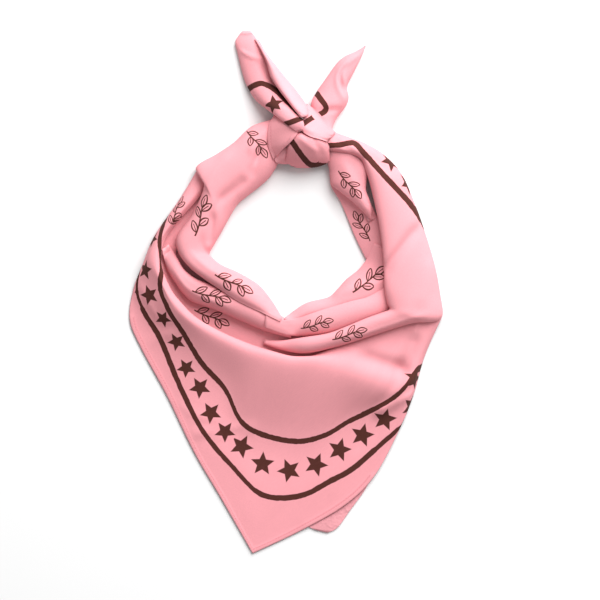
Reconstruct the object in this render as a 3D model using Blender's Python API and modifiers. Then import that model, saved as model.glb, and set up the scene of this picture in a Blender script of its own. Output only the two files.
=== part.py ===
"""A dog's neck scarf: one square of printed cotton, folded into a triangle, pleated round the neck and
knotted at the back, lying flat on a table with its point towards -Y and its knot towards +Y.

Tables are in millimetres: X to the right, Y away from the point, Z up from the table. Each stretch of
cloth that shows is a loft through the sections of a short table, then a wall of even thickness. The
stretches are laid one on another in the order in which they are made, so each rests on those before it.
"""

import math

import bmesh
import bpy
import numpy as np
from mathutils import Vector
from mathutils.bvhtree import BVHTree

MM = 0.001  # Blender works in metres
WALL = 1.2  # cloth wall: two layers of cotton with the air between them
GAP = 0.45  # clearance between a stretch and what it lies on
REACH = 3.0  # how far round a point the cloth beneath is felt
SLOPE_ALLOWANCE = 1.15  # a sloping wall is taller than it is thick
SETTLING_STEPS = 5
FIRM_HEIGHT = 6.0  # cloth this far above a wall's thickness is free to rise or settle
HIGH = 200.0  # above everything, where the downward probes start
TABLE = 0.0
RESTING_EDGE = 1.8  # height of an edge that rests on the table
FREE_EDGE = 7.0  # an edge drawn this high or higher lies on other cloth
NARROW = 16.0  # a strip narrower than this has a flatter section, so that its wall can turn
CLOTH_PINK = (0.93, 0.47, 0.52, 1.0)
INNER_PINK = (0.80, 0.30, 0.36, 1.0)
COTTON_ROUGHNESS = 0.9

# ---------------------------------------------------------------------------------------------------
# Tables. Columns of a two-edge stretch: x and y of the left edge, x and y of the right edge, then the
# heights of the left edge, of the crown between them and of the right edge.
# ---------------------------------------------------------------------------------------------------
EDGES = ("left_x", "left_y", "right_x", "right_y", "left_z", "crown_z", "right_z")

# Lower layer of the folded square: it lies on the table and its corner shows beside the point.
BACK_CORNER = (
    (-30, -90, 78, -90, 1.2, 1.2, 1.2),
    (-14, -126, 78, -124, 1.2, 1.2, 1.2),
    (-2, -154, 65.5, -154, 1.2, 1.2, 1.2),
    (7, -174, 51, -175, 1.2, 1.2, 1.2),
    (16, -186, 41, -188.5, 1.2, 1.2, 1.2),
    (24, -190.5, 33, -192.5, 1.2, 1.2, 1.2),
)

# Hidden layers of the neck, one rounded solid from one side of the knot round to the other.
HIDDEN_LAYERS = (
    (-19, 122, -13.5, 106, 0.6, 10, 0.6),
    (-36, 112, -26, 90, 0.6, 13, 0.6),
    (-57, 97, -42, 75, 0.6, 13, 0.6),
    (-64, 74, -51.5, 57, 0.6, 12, 0.6),
    (-75, 50, -62, 42, 0.6, 10, 0.6),
    (-92, 22, -70, 25, 0.6, 4, 0.6),
    (-93, -4, -61, 11, 0.6, 3.6, 0.6),
    (-84, -26, -47, 4.5, 0.6, 3.6, 0.6),
    (-58, -48, -31, -6, 0.6, 3.6, 0.6),
    (-19, -66, -7, -28, 0.6, 3.6, 0.6),
    (19, -72, 14, -22, 0.6, 4, 0.6),
    (57, -66, 42, -10, 0.6, 5, 0.6),
    (88, -46, 61, 5.5, 0.6, 6, 0.6),
    (110, -16, 74, 20, 0.6, 9, 0.6),
    (110, 18, 84, 34, 0.6, 12, 0.6),
    (101, 54, 81.5, 52, 0.6, 12, 0.6),
    (90, 83, 75, 77, 0.6, 12, 0.6),
    (72, 103, 65, 93, 0.6, 12, 0.6),
    (53, 113.5, 48, 104, 0.6, 10, 0.6),
)

# Hidden layers inside the knot.
KNOT_HEART = (
    (2, 137, 20, 139, 1, 12, 1),
    (-4, 131, 27, 132, 1, 21, 1),
    (-6, 123, 29, 123, 1, 24, 1),
    (-4, 114, 27, 113, 1, 21, 1),
    (3, 107, 20, 106, 1, 12, 1),
)

# Floor of the hollow beside the left of the neck, then the narrow ridge and the valley above the bib.
LEFT_VALLEY = (
    (-66, 88, -73, 92, 3, 3, 3),
    (-70, 69, -80, 72, 2.5, 2.5, 2.5),
    (-82, 48, -93, 52, 2.5, 2.5, 2.5),
    (-87, 37, -100, 38, 3, 3.5, 4),
    (-87, 27, -104.5, 23, 5, 6, 8),
    (-83, 11, -99, 5, 5.5, 7, 9),
    (-76, 1, -90.5, -11, 5.5, 7, 9),
    (-67, -4.5, -77, -24, 5.5, 6, 8),
    (-56.5, -8.5, -61, -33, 5.5, 5.5, 6),
    (-42, -13, -42, -41.5, 5.5, 5.5, 5.5),
    (-26, -19, -24, -47.5, 5.5, 5.5, 5.5),
    (-8, -25.5, -6, -52.5, 5.5, 5.5, 5.5),
    (11.5, -27, 13, -54, 6, 6, 6),
    (35, -25.5, 36, -52, 7, 7, 7),
)

# Broad pleat over that valley.
LEFT_PLEAT = (
    (-94, 38, -98.5, 34, 4, 5, 4),
    (-87, 28, -96, 21, 9, 14, 9),
    (-81.5, 18.5, -88, 6.5, 12, 18, 9),
    (-73, 11.5, -77, -6.5, 13, 19, 9),
    (-62.5, 7, -64, -11.5, 13, 19, 9),
    (-50, 1.5, -51, -16.5, 12, 19, 8),
    (-35, -4, -35, -23.5, 11, 18.5, 8),
    (-16.5, -12, -17, -31, 10, 17.5, 8),
    (4.5, -24, 4, -37, 9, 14, 8),
)

# Left of the neck, from the knot to the notch below the opening. The right edge is the opening's.
LEFT_BAND = (
    (-11, 138, -3.5, 108, 7, 15, 6),
    (-28, 132, -13.6, 91, 5, 18, 4.5),
    (-41, 120, -32, 75.7, 5, 19, 4.5),
    (-55, 110.5, -38.5, 70, 5, 19, 4.5),
    (-72, 99.5, -44, 61.5, 5, 19, 4.5),
    (-65.5, 85.5, -50.3, 50, 7, 19, 4.5),
    (-74.5, 63, -57, 38.5, 7, 19, 4.5),
    (-87.5, 44, -61.2, 30.8, 8, 19.5, 4.5),
    (-85.5, 31, -59, 27.5, 11, 20, 4.5),
    (-77.3, 20, -51, 21.3, 14, 21.5, 4.5),
    (-66, 10.8, -40, 16.5, 15, 22, 4.5),
    (-52, 1.5, -29, 10.5, 14, 21.5, 4.5),
    (-37, -8, -20, 4, 14, 21, 4.5),
    (-19, -16.5, -11, -7.5, 13, 18, 4.5),
    (-4.5, -23.5, -3, -20.5, 11, 13, 5),
)

# Pleats on the right of the notch: the first borders the opening, the second lies on it.
RIGHT_PLEAT_INNER = (
    (70.5, 39, 85, 33, 5, 7, 8),
    (64.4, 26.4, 84, 15, 3, 8, 9),
    (57.6, 17.6, 78.5, 0.5, 3, 10.5, 9),
    (48.5, 10.4, 62, -8.5, 3, 12.5, 8),
    (40.8, 2, 48, -12, 3, 13, 8),
    (33.6, -4.2, 36.5, -16, 3, 13, 8),
    (15.2, -9.2, 19, -20, 3, 13, 8),
    (-1.2, -20.8, 2.5, -26, 4, 11, 8),
)
RIGHT_PLEAT_MIDDLE = (
    (90, 11, 91, -11, 9, 12, 8),
    (78.5, 3.5, 82, -16.5, 9, 15, 8),
    (64.5, -4, 69, -22, 9, 18, 8),
    (52, -7.2, 53, -28.5, 9, 18.5, 7.5),
    (36, -12, 36, -34, 9, 18.5, 7),
    (21, -16.8, 22.5, -35.5, 9, 17.5, 7),
    (9, -20.8, 9.5, -35.5, 8, 14, 7),
    (-3, -22, -3, -33, 6, 9, 6),
    (-16, -17, -17, -28, 5, 7, 5),
)

# Inside of the cloth on the right of the opening, and the twisted tongue that lies on it.
RIGHT_INNER = (
    (34.8, 97.6, 51, 96, 2.5, 6, 8),
    (36, 85, 63, 80, 2.5, 6.5, 9),
    (43.2, 72.8, 71, 64, 2.5, 6.5, 9),
    (47.6, 63, 76, 54, 2.5, 6.5, 9),
    (54, 47.2, 80.5, 41.5, 2.5, 6.5, 9),
    (59.5, 35.2, 82, 31, 2.5, 6.5, 9),
    (64.4, 25.8, 83.5, 21.5, 2.5, 6.5, 9),
)
RIGHT_TONGUE = (
    (30.5, 112, 54, 120, 9, 15, 11),
    (34.4, 97.6, 65, 101, 6, 17, 12),
    (36, 86.4, 64.5, 90, 6, 17, 12),
    (43.2, 80, 64, 81, 8, 16.5, 12),
    (51.2, 73.6, 66.8, 73.5, 9, 16, 12),
    (59, 66.4, 68.6, 66, 9, 15, 11),
    (64.6, 61, 69.4, 62, 9, 12, 10),
    (66.6, 57.4, 69.6, 58.6, 8.5, 9.8, 9),
)

# Right of the neck, from the knot round to the crest that ends above the bib.
RIGHT_BAND = (
    (28, 131, 28, 113, 12, 19, 12),
    (47.2, 124.8, 46.5, 111, 5, 20, 14),
    (63.2, 118.8, 59.2, 106.4, 5, 21, 14),
    (78.4, 109.6, 64, 95.2, 5, 21, 14),
    (92.6, 94, 67.6, 83.2, 5, 21, 14),
    (103.6, 69, 71.2, 68, 5, 21, 15),
    (111, 48, 75.2, 48, 5, 21, 16),
    (119.2, 20.4, 77.6, 26.5, 5, 21.5, 17),
    (123.4, -2.4, 78.4, 3.2, 5, 22, 17),
    (125.2, -18.5, 80.4, -8.8, 5, 22, 16),
    (118.5, -23.5, 82.4, -13.6, 7, 22.5, 16),
    (101, -25, 76, -16.5, 11, 22.5, 15),
    (79.5, -31.5, 64, -20.8, 12, 22.5, 15),
    (59.5, -38, 48, -27.5, 13, 22.5, 15),
    (39.5, -44, 33.6, -32.8, 13, 22, 15),
    (15.5, -49, 14.5, -36, 13, 21, 14),
    (-3.5, -46.4, -3, -38.5, 9, 13, 9),
    (-18, -41.6, -17.5, -38.4, 7, 8.5, 7),
)

# The knot's wraps, from the lowest to the highest.
KNOT_CREASE = (
    (-4, 114, 4, 117, 18, 20, 20),
    (-9, 107, 1, 107, 9, 15, 14),
    (-7, 102.6, 2, 102.2, 4, 9, 6),
)
KNOT_LOWER_WRAP = (
    (2, 119, -1, 104.6, 20, 21, 5),
    (9, 127, 5.6, 100, 24, 27, 4.5),
    (15.5, 126, 14.4, 99, 25, 28, 4.5),
    (22.5, 124.5, 23.2, 99.5, 24, 27.5, 4.5),
    (30, 122.5, 31.2, 101.8, 19, 24, 5),
    (34.5, 116, 35, 105, 14, 17, 8),
)
KNOT_UPPER_WRAP = (
    (16.8, 150.4, 14, 138, 8, 19, 22),
    (24, 144.8, 12, 129, 6, 25, 27),
    (31.2, 136.8, 18.5, 123.6, 6, 26, 27),
    (36.4, 130.5, 27, 121.2, 9, 22, 23),
    (39.8, 127, 33, 119.5, 11, 17, 17),
)
KNOT_LEFT_WRAP = (
    (-9.6, 141.2, -2.5, 137.5, 11, 19, 20),
    (-13.6, 133.6, 5, 132, 13, 25, 27),
    (-14.8, 124.8, 10, 128, 14, 26.5, 28),
    (-14, 115.2, 4, 119.2, 13, 24.5, 26),
    (-11.6, 109.6, -3.2, 112.8, 10, 19, 20),
    (-10, 105.6, -6.4, 108.4, 8.5, 13, 13),
)

# The two ends beyond the knot.
TAIL_RIGHT = (
    (60.2, 196.4, 63.3, 197, 2.4, 2.8, 2.4),
    (55.2, 192.4, 61.6, 191.6, 2.4, 4, 2.4),
    (47.2, 188.6, 59.2, 185.6, 2.4, 7.5, 3.5),
    (40.8, 183.2, 53.6, 174.4, 2.4, 10, 3.5),
    (32.8, 172, 48.8, 164, 2.4, 12, 3.5),
    (24.8, 160.5, 50.2, 155.5, 3, 14, 3.5),
    (20, 150.4, 47.6, 148.2, 5, 16, 3.5),
    (22.4, 141.6, 40.8, 139.2, 9, 16, 5),
    (28, 134.4, 37.2, 131.4, 12, 17, 9),
    (30, 125, 36, 124, 17, 20, 17),
)
TAIL_LEFT = (
    (-35, 208.6, -28.6, 209, 2.4, 3.2, 2.6),
    (-40.4, 200.5, -22.4, 201, 2.4, 6, 3.5),
    (-38.8, 191.2, -16, 190, 2.4, 8, 4),
    (-34, 172, -11, 172.8, 2.4, 10, 5),
    (-29.9, 162, -5.4, 161.6, 3, 13, 7),
    (-24, 153, 2, 152, 4, 18, 11),
    (-14.4, 145, 8.4, 144, 10, 26, 20),
    (-4.8, 137.4, 13, 137.6, 24, 32.5, 28),
    (3.2, 131, 14.6, 132, 30, 33.5, 31),
    (9.4, 126.8, 13.8, 128, 30, 31.5, 30),
)
TAIL_LEFT_FLAP = (
    (-26.5, 202, -20.5, 201, 7, 7.8, 7),
    (-22, 193.6, -14.8, 190.6, 8, 9.6, 7.5),
    (-17.5, 183.2, -7, 179.2, 10, 13, 7.5),
    (-12, 172, -0.6, 171.2, 12, 16, 4),
    (-5.6, 161.6, 7.4, 161.6, 15, 19, 4.5),
    (1.6, 152, 14.6, 151.2, 20, 24, 7),
    (8, 143.6, 17, 145.6, 28, 31, 18),
    (12.2, 138.4, 17.4, 140, 32, 33, 28),
)

# The bib, its border and the strip that it becomes up the left side. A row is a section from the hem,
# or from the silhouette where the hem is turned under, to the edge that goes under the pleats. Each
# rail has x, y and z: the hem, the printed border's outer and inner lines, the swell and the top edge.
RAILS = ("hem", "outer_line", "inner_line", "swell", "top")
BIB_FRONT = (
    ((-69, 101, 1.4), (-66, 98, 5), (-63, 95, 6), (-60, 92.5, 6), (-57, 90, 4)),
    ((-85.6, 73.6, 1.4), (-84.4, 73.2, 8), (-80.5, 72.6, 11.5), (-76.5, 72, 11.5), (-73, 71.2, 7)),
    ((-104.8, 45.6, 1.4), (-103.8, 45.4, 8), (-101, 45.2, 13), (-98, 45, 14), (-95, 44.8, 9)),
    ((-114, 24, 1.4), (-113, 24, 7), (-109.5, 24, 15), (-103.5, 24, 18), (-99.5, 24, 14)),
    ((-122.4, 1, 1.4), (-119.5, 0.6, 4.5), (-100.4, 2.4, 17), (-96.6, 3.4, 19.5), (-92.6, 4, 15)),
    ((-125.0, -22.4, 1.4), (-112, -18.4, 4.4), (-92.8, -16, 16), (-87.4, -11.6, 20), (-83.4, -8.6, 16)),
    ((-116, -44.8, 1.4), (-100.8, -36.8, 3.8), (-82.4, -32, 12), (-75.2, -24.4, 19), (-71, -20.6, 16)),
    ((-95.2, -83.2, 1.4), (-84.8, -75.2, 3.4), (-67.2, -56.8, 8), (-56, -37, 18.5), (-51, -32, 15)),
    ((-73.6, -128, 1.4), (-66.4, -111.2, 3), (-48.8, -77.6, 5.5), (-33, -48, 18.5), (-28.6, -41.4, 13)),
    ((-51.2, -166.4, 1.4), (-43.2, -139.2, 2.6), (-36, -103.2, 4.2), (-14, -54.5, 20.5), (-11, -47, 13)),
    ((-26.8, -209.0, 1.4), (-19.2, -162, 2.2), (-17.6, -114.4, 3.6), (3, -58, 21.5), (5, -51, 13)),
    ((11.2, -191.2, 1.4), (10.4, -163.2, 2.4), (9.3, -119.4, 3.8), (20.8, -58.5, 21.5), (19.4, -51, 12)),
    ((47.2, -170.4, 2.8), (35.2, -151.2, 3.2), (31.2, -114.4, 4.6), (40, -62, 20.5), (36, -44.5, 11)),
    ((71.2, -146.4, 2.8), (56.8, -138.4, 4), (50.4, -103.2, 5.5), (59.2, -67, 19.5), (53, -37, 10)),
    ((91.6, -108, 2.8), (87.6, -108, 5), (73.6, -92, 8), (78.4, -71, 17), (73, -28, 10)),
    ((102.2, -81.6, 1.4), (99.6, -80.8, 7), (93.6, -78, 11), (90, -64, 13), (94, -20.5, 10)),
    ((111, -51.2, 1.4), (108.6, -49.6, 7.5), (104.6, -45.6, 11), (101.6, -36, 12), (109, -15.5, 10)),
    ((125, -19.6, 2), (124, -18.6, 4), (122.6, -17, 5), (120.6, -14, 6), (118, -9, 6)),
)
BIB_POINT_ROW = 10  # the section at the bib's point, where the hem turns a sharp corner

# The largest soft folds, as straight ridges or, with a negative height, troughs. Columns: where each
# starts and ends, how far it reaches to either side, and its height.
FOLDS = ("from_x", "from_y", "to_x", "to_y", "half_width", "height")
BIB_FOLDS = (
    (-84, -115.5, -20, -108, 6, 2.8),
    (-118, -44, -84, -30, 7, 1.6),
    (52, -48, 104, -66, 9, -4),
    (66, -100, 116, -74, 5, 2.4),
)
RIGHT_BAND_FOLDS = (
    (108, 58, 72, 8, 6, -2.0),
    (108, 88, 116, 40, 7, -1.2),
    (62, 112, 88, 92, 5, -1.4),
)
LEFT_BAND_FOLDS = (
    (-17, 116, -31, 90, 5, -2.4),
    (-30, 94, -57, 70, 5, -2.0),
    (-58, 66, -62, 34, 5, -2.2),
    (-38, 14, -16, -3, 4, -2.0),
)


def between(points, place, sharp=False):
    """The Catmull-Rom value at a place along equally spaced points; sharp rows keep their corner."""
    last = len(points) - 1
    i = min(int(place), last - 1)
    f = place - i
    here, there = points[i], points[i + 1]
    before = points[max(i - 1, 0)]
    after = points[min(i + 2, last)]
    slope_here = (there - before) / 2 * (0.0 if sharp == i else 1.0)
    slope_there = (after - here) / 2 * (0.0 if sharp == i + 1 else 1.0)
    f2, f3 = f * f, f * f * f
    return (
        here * (2 * f3 - 3 * f2 + 1)
        + slope_here * (f3 - 2 * f2 + f)
        + there * (3 * f2 - 2 * f3)
        + slope_there * (f3 - f2)
    )


def freedom(grid):
    """How freely each point may go up or down: not at all near the table, fully well above it."""
    return np.clip((grid[:, :, 2] - WALL) / FIRM_HEIGHT, 0, 1)


def creased(grid, folds):
    """The grid raised along each fold, softly across it and fading out at its ends."""
    grid = grid.copy()
    free = freedom(grid)
    for row in folds:
        fold = dict(zip(FOLDS, row))
        start = np.array((fold["from_x"], fold["from_y"]), float)
        run = np.array((fold["to_x"], fold["to_y"]), float) - start
        along = ((grid[:, :, :2] - start) @ run) / (run @ run)
        nearest = start + np.clip(along, 0, 1)[:, :, None] * run
        away = np.linalg.norm(grid[:, :, :2] - nearest, axis=2) / fold["half_width"]
        ends = np.sin(np.pi * np.clip(along, 0, 1)) ** 0.4
        grid[:, :, 2] += fold["height"] * free * ends * np.exp(-2 * away * away)
    return grid


def grounded(table):
    """The table of a stretch with its low edges brought down to where they rest."""
    rows = np.array(table, float)
    for column in (EDGES.index("left_z"), EDGES.index("right_z")):
        low = np.clip((FREE_EDGE - rows[:, column]) / 2, 0, 1)
        rows[:, column] -= (rows[:, column] - RESTING_EDGE) * low
    return rows


def two_edge_loft(table, spans, across):
    """A grid of points: one row a station along the stretch, from its left edge to its right edge."""
    columns = np.array(table, float)
    grid = []
    for station in range(spans * (len(table) - 1) + 1):
        row = dict(zip(EDGES, between(columns, station / spans)))
        left_edge = np.array((row["left_x"], row["left_y"]))
        right_edge = np.array((row["right_x"], row["right_y"]))
        narrow = max(0.0, 1 - float(np.linalg.norm(right_edge - left_edge)) / NARROW)
        middle_z = (row["left_z"] + row["right_z"]) / 2
        points = []
        for j in range(across + 1):
            angle = math.pi * j / across
            t = (1 - math.cos(angle)) / 2 * (1 - narrow) + j / across * narrow
            x, y = left_edge + (right_edge - left_edge) * t
            side_z = row["left_z"] + (row["right_z"] - row["left_z"]) * t
            points.append((x, y, side_z + (row["crown_z"] - middle_z) * math.sin(angle) ** 0.9))
        grid.append(points)
    return np.array(grid)


def rail_loft(table, spans, across, corner_row):
    """A grid of points through every rail of every section, with a sharp corner on the first rail."""
    sections = np.array(table, float)
    grid = []
    for station in range(spans * (len(table) - 1) + 1):
        place = station / spans
        rails = [
            between(sections[:, rail], place, sharp=corner_row if rail == 0 else False)
            for rail in range(len(RAILS))
        ]
        rails = np.array(rails)
        last = len(RAILS) - 1
        grid.append([between(rails, last * j / across) for j in range(across + 1)])
    return np.array(grid)


class Heap:
    """The upper faces of everything laid so far, felt from above."""

    def __init__(self):
        self.points = []
        self.faces = []
        self.tree = None

    def add(self, grid):
        rows, columns = grid.shape[:2]
        first = len(self.points)
        self.points += [Vector(p) for p in grid.reshape(-1, 3)]
        for i in range(rows - 1):
            for j in range(columns - 1):
                a = first + i * columns + j
                self.faces.append((a, a + 1, a + columns + 1, a + columns))
        self.tree = BVHTree.FromPolygons(self.points, self.faces)

    def height(self, x, y):
        if self.tree is None:
            return TABLE
        hit = self.tree.ray_cast(Vector((x, y, HIGH)), Vector((0, 0, -1)))[0]
        return TABLE if hit is None else hit.z

    def distance(self, point):
        return self.tree.find_nearest(Vector(point))[3]

    def height_near(self, x, y, reach):
        found = self.height(x, y)
        for ring in (reach / 2, reach):
            for k in range(8):
                angle = math.pi * k / 4
                found = max(found, self.height(x + ring * math.cos(angle), y + ring * math.sin(angle)))
        return found


def underside(grid):
    """The points of the wall's lower face, a wall's thickness beneath the grid."""
    along = np.gradient(grid, axis=0)
    across = np.gradient(grid, axis=1)
    normal = np.cross(along, across)
    normal /= np.maximum(np.linalg.norm(normal, axis=2, keepdims=True), 1e-9)
    normal *= np.sign(normal[:, :, 2].sum())
    return grid - normal * WALL


def settled(grid, heap):
    """The grid lowered until its wall just rests on the heap; an edge near the table stays there."""
    grid = grid.copy()
    for _ in range(SETTLING_STEPS):
        spare = min(heap.distance(p) for p in underside(grid).reshape(-1, 3)) - GAP
        if spare <= 0:
            break
        grid[:, :, 2] -= spare * freedom(grid)
    return grid


def lifted(grid, heap):
    """The grid lifted clear of the heap, with the lift spread softly so that no step shows."""
    rows, columns = grid.shape[:2]
    lift = np.zeros((rows, columns))
    for i in range(rows):
        for j in range(columns):
            x, y, z = grid[i, j]
            below = heap.height_near(x, y, REACH)
            if below > TABLE:
                lift[i, j] = max(0.0, below + GAP + WALL * SLOPE_ALLOWANCE - z)
    least = lift.copy()
    for _ in range(2):
        soft = np.pad(lift, 1, mode="edge")
        soft = (soft[:-2, 1:-1] + soft[2:, 1:-1] + soft[1:-1, :-2] + soft[1:-1, 2:]) / 4
        lift = np.maximum(least, soft)
    grid = grid.copy()
    grid[:, :, 2] += lift
    return grid


def cotton(name, color):
    material = bpy.data.materials.new(name)
    material.use_nodes = True
    shader = material.node_tree.nodes["Principled BSDF"]
    shader.inputs["Base Color"].default_value = color
    shader.inputs["Roughness"].default_value = COTTON_ROUGHNESS
    shader.inputs["Metallic"].default_value = 0.0
    return material


def sheet_mesh(grid):
    """An open surface through the grid's points, facing up."""
    rows, columns = grid.shape[:2]
    surface = bmesh.new()
    bmesh.ops.create_grid(surface, x_segments=columns - 1, y_segments=rows - 1, size=1.0)
    surface.verts.ensure_lookup_table()
    for vertex, point in zip(surface.verts, grid.reshape(-1, 3)):
        vertex.co = Vector(point) * MM
    surface.normal_update()
    if sum(face.normal.z * face.calc_area() for face in surface.faces) < 0:
        bmesh.ops.reverse_faces(surface, faces=surface.faces)
    return surface


def finish_object(name, surface, collection, material):
    mesh = bpy.data.meshes.new(name)
    surface.to_mesh(mesh)
    surface.free()
    mesh.shade_smooth()
    mesh.materials.append(material)
    made = bpy.data.objects.new(name, mesh)
    collection.objects.link(made)
    return made


def cloth_wall(name, grid, heap, collection, material):
    """A stretch that shows: its surface goes through the grid and its wall lies beneath."""
    heap.add(grid)
    made = finish_object(name, sheet_mesh(grid), collection, material)
    wall = made.modifiers.new("wall", "SOLIDIFY")
    wall.thickness = WALL * MM
    wall.offset = -1.0
    return made


def rounded_solid(name, grid, heap, collection, material):
    """Hidden layers: the grid is the rounded top, and the underside is flat on the table."""
    heap.add(grid)
    surface = sheet_mesh(grid)
    pulled = bmesh.ops.extrude_face_region(surface, geom=surface.faces[:])
    for piece in pulled["geom"]:
        if isinstance(piece, bmesh.types.BMVert):
            piece.co.z = TABLE
    bmesh.ops.recalc_face_normals(surface, faces=surface.faces)
    return finish_object(name, surface, collection, material)


def build():
    for old in list(bpy.data.objects):
        bpy.data.objects.remove(old, do_unlink=True)
    scarf = bpy.data.collections.new("dog_scarf")
    bpy.context.scene.collection.children.link(scarf)
    face_cloth = cotton("printed_cotton", CLOTH_PINK)
    inner_cloth = cotton("cotton_inside", INNER_PINK)
    heap = Heap()

    def stretch(name, table, spans, across, folds=()):
        grid = creased(two_edge_loft(grounded(table), spans, across), folds)
        cloth_wall(name, settled(lifted(grid, heap), heap), heap, scarf, face_cloth)

    rounded_solid("back_corner", two_edge_loft(BACK_CORNER, 2, 6), heap, scarf, inner_cloth)
    rounded_solid("hidden_layers", two_edge_loft(HIDDEN_LAYERS, 2, 6), heap, scarf, inner_cloth)
    rounded_solid("knot_heart", two_edge_loft(KNOT_HEART, 3, 8), heap, scarf, inner_cloth)
    stretch("left_valley", LEFT_VALLEY, 2, 6)
    bib = lifted(creased(rail_loft(BIB_FRONT, 4, 12, BIB_POINT_ROW), BIB_FOLDS), heap)
    cloth_wall("bib_front", bib, heap, scarf, face_cloth)
    stretch("left_pleat", LEFT_PLEAT, 3, 7)
    stretch("right_inner", RIGHT_INNER, 2, 6)
    stretch("right_pleat_inner", RIGHT_PLEAT_INNER, 3, 7)
    stretch("right_pleat_middle", RIGHT_PLEAT_MIDDLE, 3, 7)
    stretch("left_band", LEFT_BAND, 2, 8, folds=LEFT_BAND_FOLDS)
    stretch("right_tongue", RIGHT_TONGUE, 2, 7)
    stretch("right_band", RIGHT_BAND, 2, 8, folds=RIGHT_BAND_FOLDS)
    stretch("tail_right", TAIL_RIGHT, 2, 7)
    stretch("knot_crease", KNOT_CREASE, 3, 5)
    stretch("knot_lower_wrap", KNOT_LOWER_WRAP, 2, 7)
    stretch("knot_upper_wrap", KNOT_UPPER_WRAP, 2, 7)
    stretch("knot_left_wrap", KNOT_LEFT_WRAP, 2, 7)
    stretch("tail_left", TAIL_LEFT, 2, 7)
    stretch("tail_left_flap", TAIL_LEFT_FLAP, 2, 6)


build()
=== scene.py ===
# %% [markdown]
# # A knotted neck scarf for a dog
#
# The real object is one square of light pink cotton, about 55 cm a side, with a narrow rolled hem
# and a brown border printed on one face: two lines with a row of stars between them. It is folded
# corner to corner, pleated round a neck, tied behind and laid flat on a table.
#
# This lesson dresses a finished solid model of it. The solids say where each stretch of cloth lies;
# here each one becomes a thin sheet with creases, a hem, a weave and its print.

# %% Load the solid model
import math

import bmesh
import bpy
import numpy as np
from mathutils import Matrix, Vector
from mathutils.bvhtree import BVHTree


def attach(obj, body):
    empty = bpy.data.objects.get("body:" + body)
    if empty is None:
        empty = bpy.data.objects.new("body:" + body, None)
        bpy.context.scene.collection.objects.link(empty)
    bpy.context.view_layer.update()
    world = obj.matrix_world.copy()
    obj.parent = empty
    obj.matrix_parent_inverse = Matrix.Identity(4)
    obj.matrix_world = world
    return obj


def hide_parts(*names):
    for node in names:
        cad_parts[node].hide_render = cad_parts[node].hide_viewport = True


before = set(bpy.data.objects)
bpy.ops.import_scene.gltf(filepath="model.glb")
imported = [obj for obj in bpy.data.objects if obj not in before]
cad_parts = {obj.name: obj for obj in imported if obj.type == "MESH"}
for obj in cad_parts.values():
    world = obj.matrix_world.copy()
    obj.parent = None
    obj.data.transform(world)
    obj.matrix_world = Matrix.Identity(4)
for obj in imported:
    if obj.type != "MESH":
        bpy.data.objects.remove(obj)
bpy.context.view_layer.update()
print("solid stretches:", len(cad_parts))

# %% [markdown]
# ## The sizes behind everything
#
# Cloth is drawn in millimetres, because a hem of 3.6 and a stitch of 2.4 are easier to think about
# than 0.0036 and 0.0024. Blender works in metres, so points are scaled once, when a mesh is made.
# The print's sizes come from the flat cloth: how far each line lies from the hem.

# %% Driving sizes
MM = 0.001
CLOTH = 0.45  # the cotton with the air that lies against it
CLEARANCE = 0.25  # between a stretch and the one beneath
STEP = 2.0  # the distance between rows of a sheet
TABLE = 0.0
HEM_WIDTH = 3.6
STITCH = 2.4  # from one stitch of the hem to the next
OUTER_LINE = 24.0  # from the hem to the middle of each printed line
INNER_LINE = 54.0
HALF_GAP = (INNER_LINE - OUTER_LINE) / 2
LINE_WIDTH = 4.5
STAR_RADIUS = 9.9
FAR = 500.0  # a print coordinate where nothing is printed

# %% [markdown]
# ## Tables of sections
#
# A stretch of cloth is described the way a tailor marks it: a row for each section along it. A row
# gives the left edge, the right edge and three heights, and a curve through the rows does the rest.
# Few rows keep the folds long and soft, as cotton's are; many short ones would look like foil.

# %% Sections of every stretch, in millimetres
# The columns are left_x, left_y, right_x, right_y, left_z, crown_z and right_z.

# Lower layer of the folded square: it lies on the table and its corner shows beside the point.
BACK_CORNER = (
    (-30, -90, 78, -90, 1.2, 1.2, 1.2),
    (-14, -126, 78, -124, 1.2, 1.2, 1.2),
    (-2, -154, 65.5, -154, 1.2, 1.2, 1.2),
    (7, -174, 51, -175, 1.2, 1.2, 1.2),
    (16, -186, 41, -188.5, 1.2, 1.2, 1.2),
    (24, -190.5, 33, -192.5, 1.2, 1.2, 1.2),
)

# Hidden layers of the neck, one rounded solid from one side of the knot round to the other.
HIDDEN_LAYERS = (
    (-19, 122, -13.5, 106, 0.6, 10, 0.6),
    (-36, 112, -26, 90, 0.6, 13, 0.6),
    (-57, 97, -42, 75, 0.6, 13, 0.6),
    (-64, 74, -51.5, 57, 0.6, 12, 0.6),
    (-75, 50, -62, 42, 0.6, 10, 0.6),
    (-92, 22, -70, 25, 0.6, 4, 0.6),
    (-93, -4, -61, 11, 0.6, 3.6, 0.6),
    (-84, -26, -47, 4.5, 0.6, 3.6, 0.6),
    (-58, -48, -31, -6, 0.6, 3.6, 0.6),
    (-19, -66, -7, -28, 0.6, 3.6, 0.6),
    (19, -72, 14, -22, 0.6, 4, 0.6),
    (57, -66, 42, -10, 0.6, 5, 0.6),
    (88, -46, 61, 5.5, 0.6, 6, 0.6),
    (110, -16, 74, 20, 0.6, 9, 0.6),
    (110, 18, 84, 34, 0.6, 12, 0.6),
    (101, 54, 81.5, 52, 0.6, 12, 0.6),
    (90, 83, 75, 77, 0.6, 12, 0.6),
    (72, 103, 65, 93, 0.6, 12, 0.6),
    (53, 113.5, 48, 104, 0.6, 10, 0.6),
)

# Hidden layers inside the knot.
KNOT_HEART = (
    (2, 137, 20, 139, 1, 12, 1),
    (-4, 131, 27, 132, 1, 21, 1),
    (-6, 123, 29, 123, 1, 24, 1),
    (-4, 114, 27, 113, 1, 21, 1),
    (3, 107, 20, 106, 1, 12, 1),
)

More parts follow.
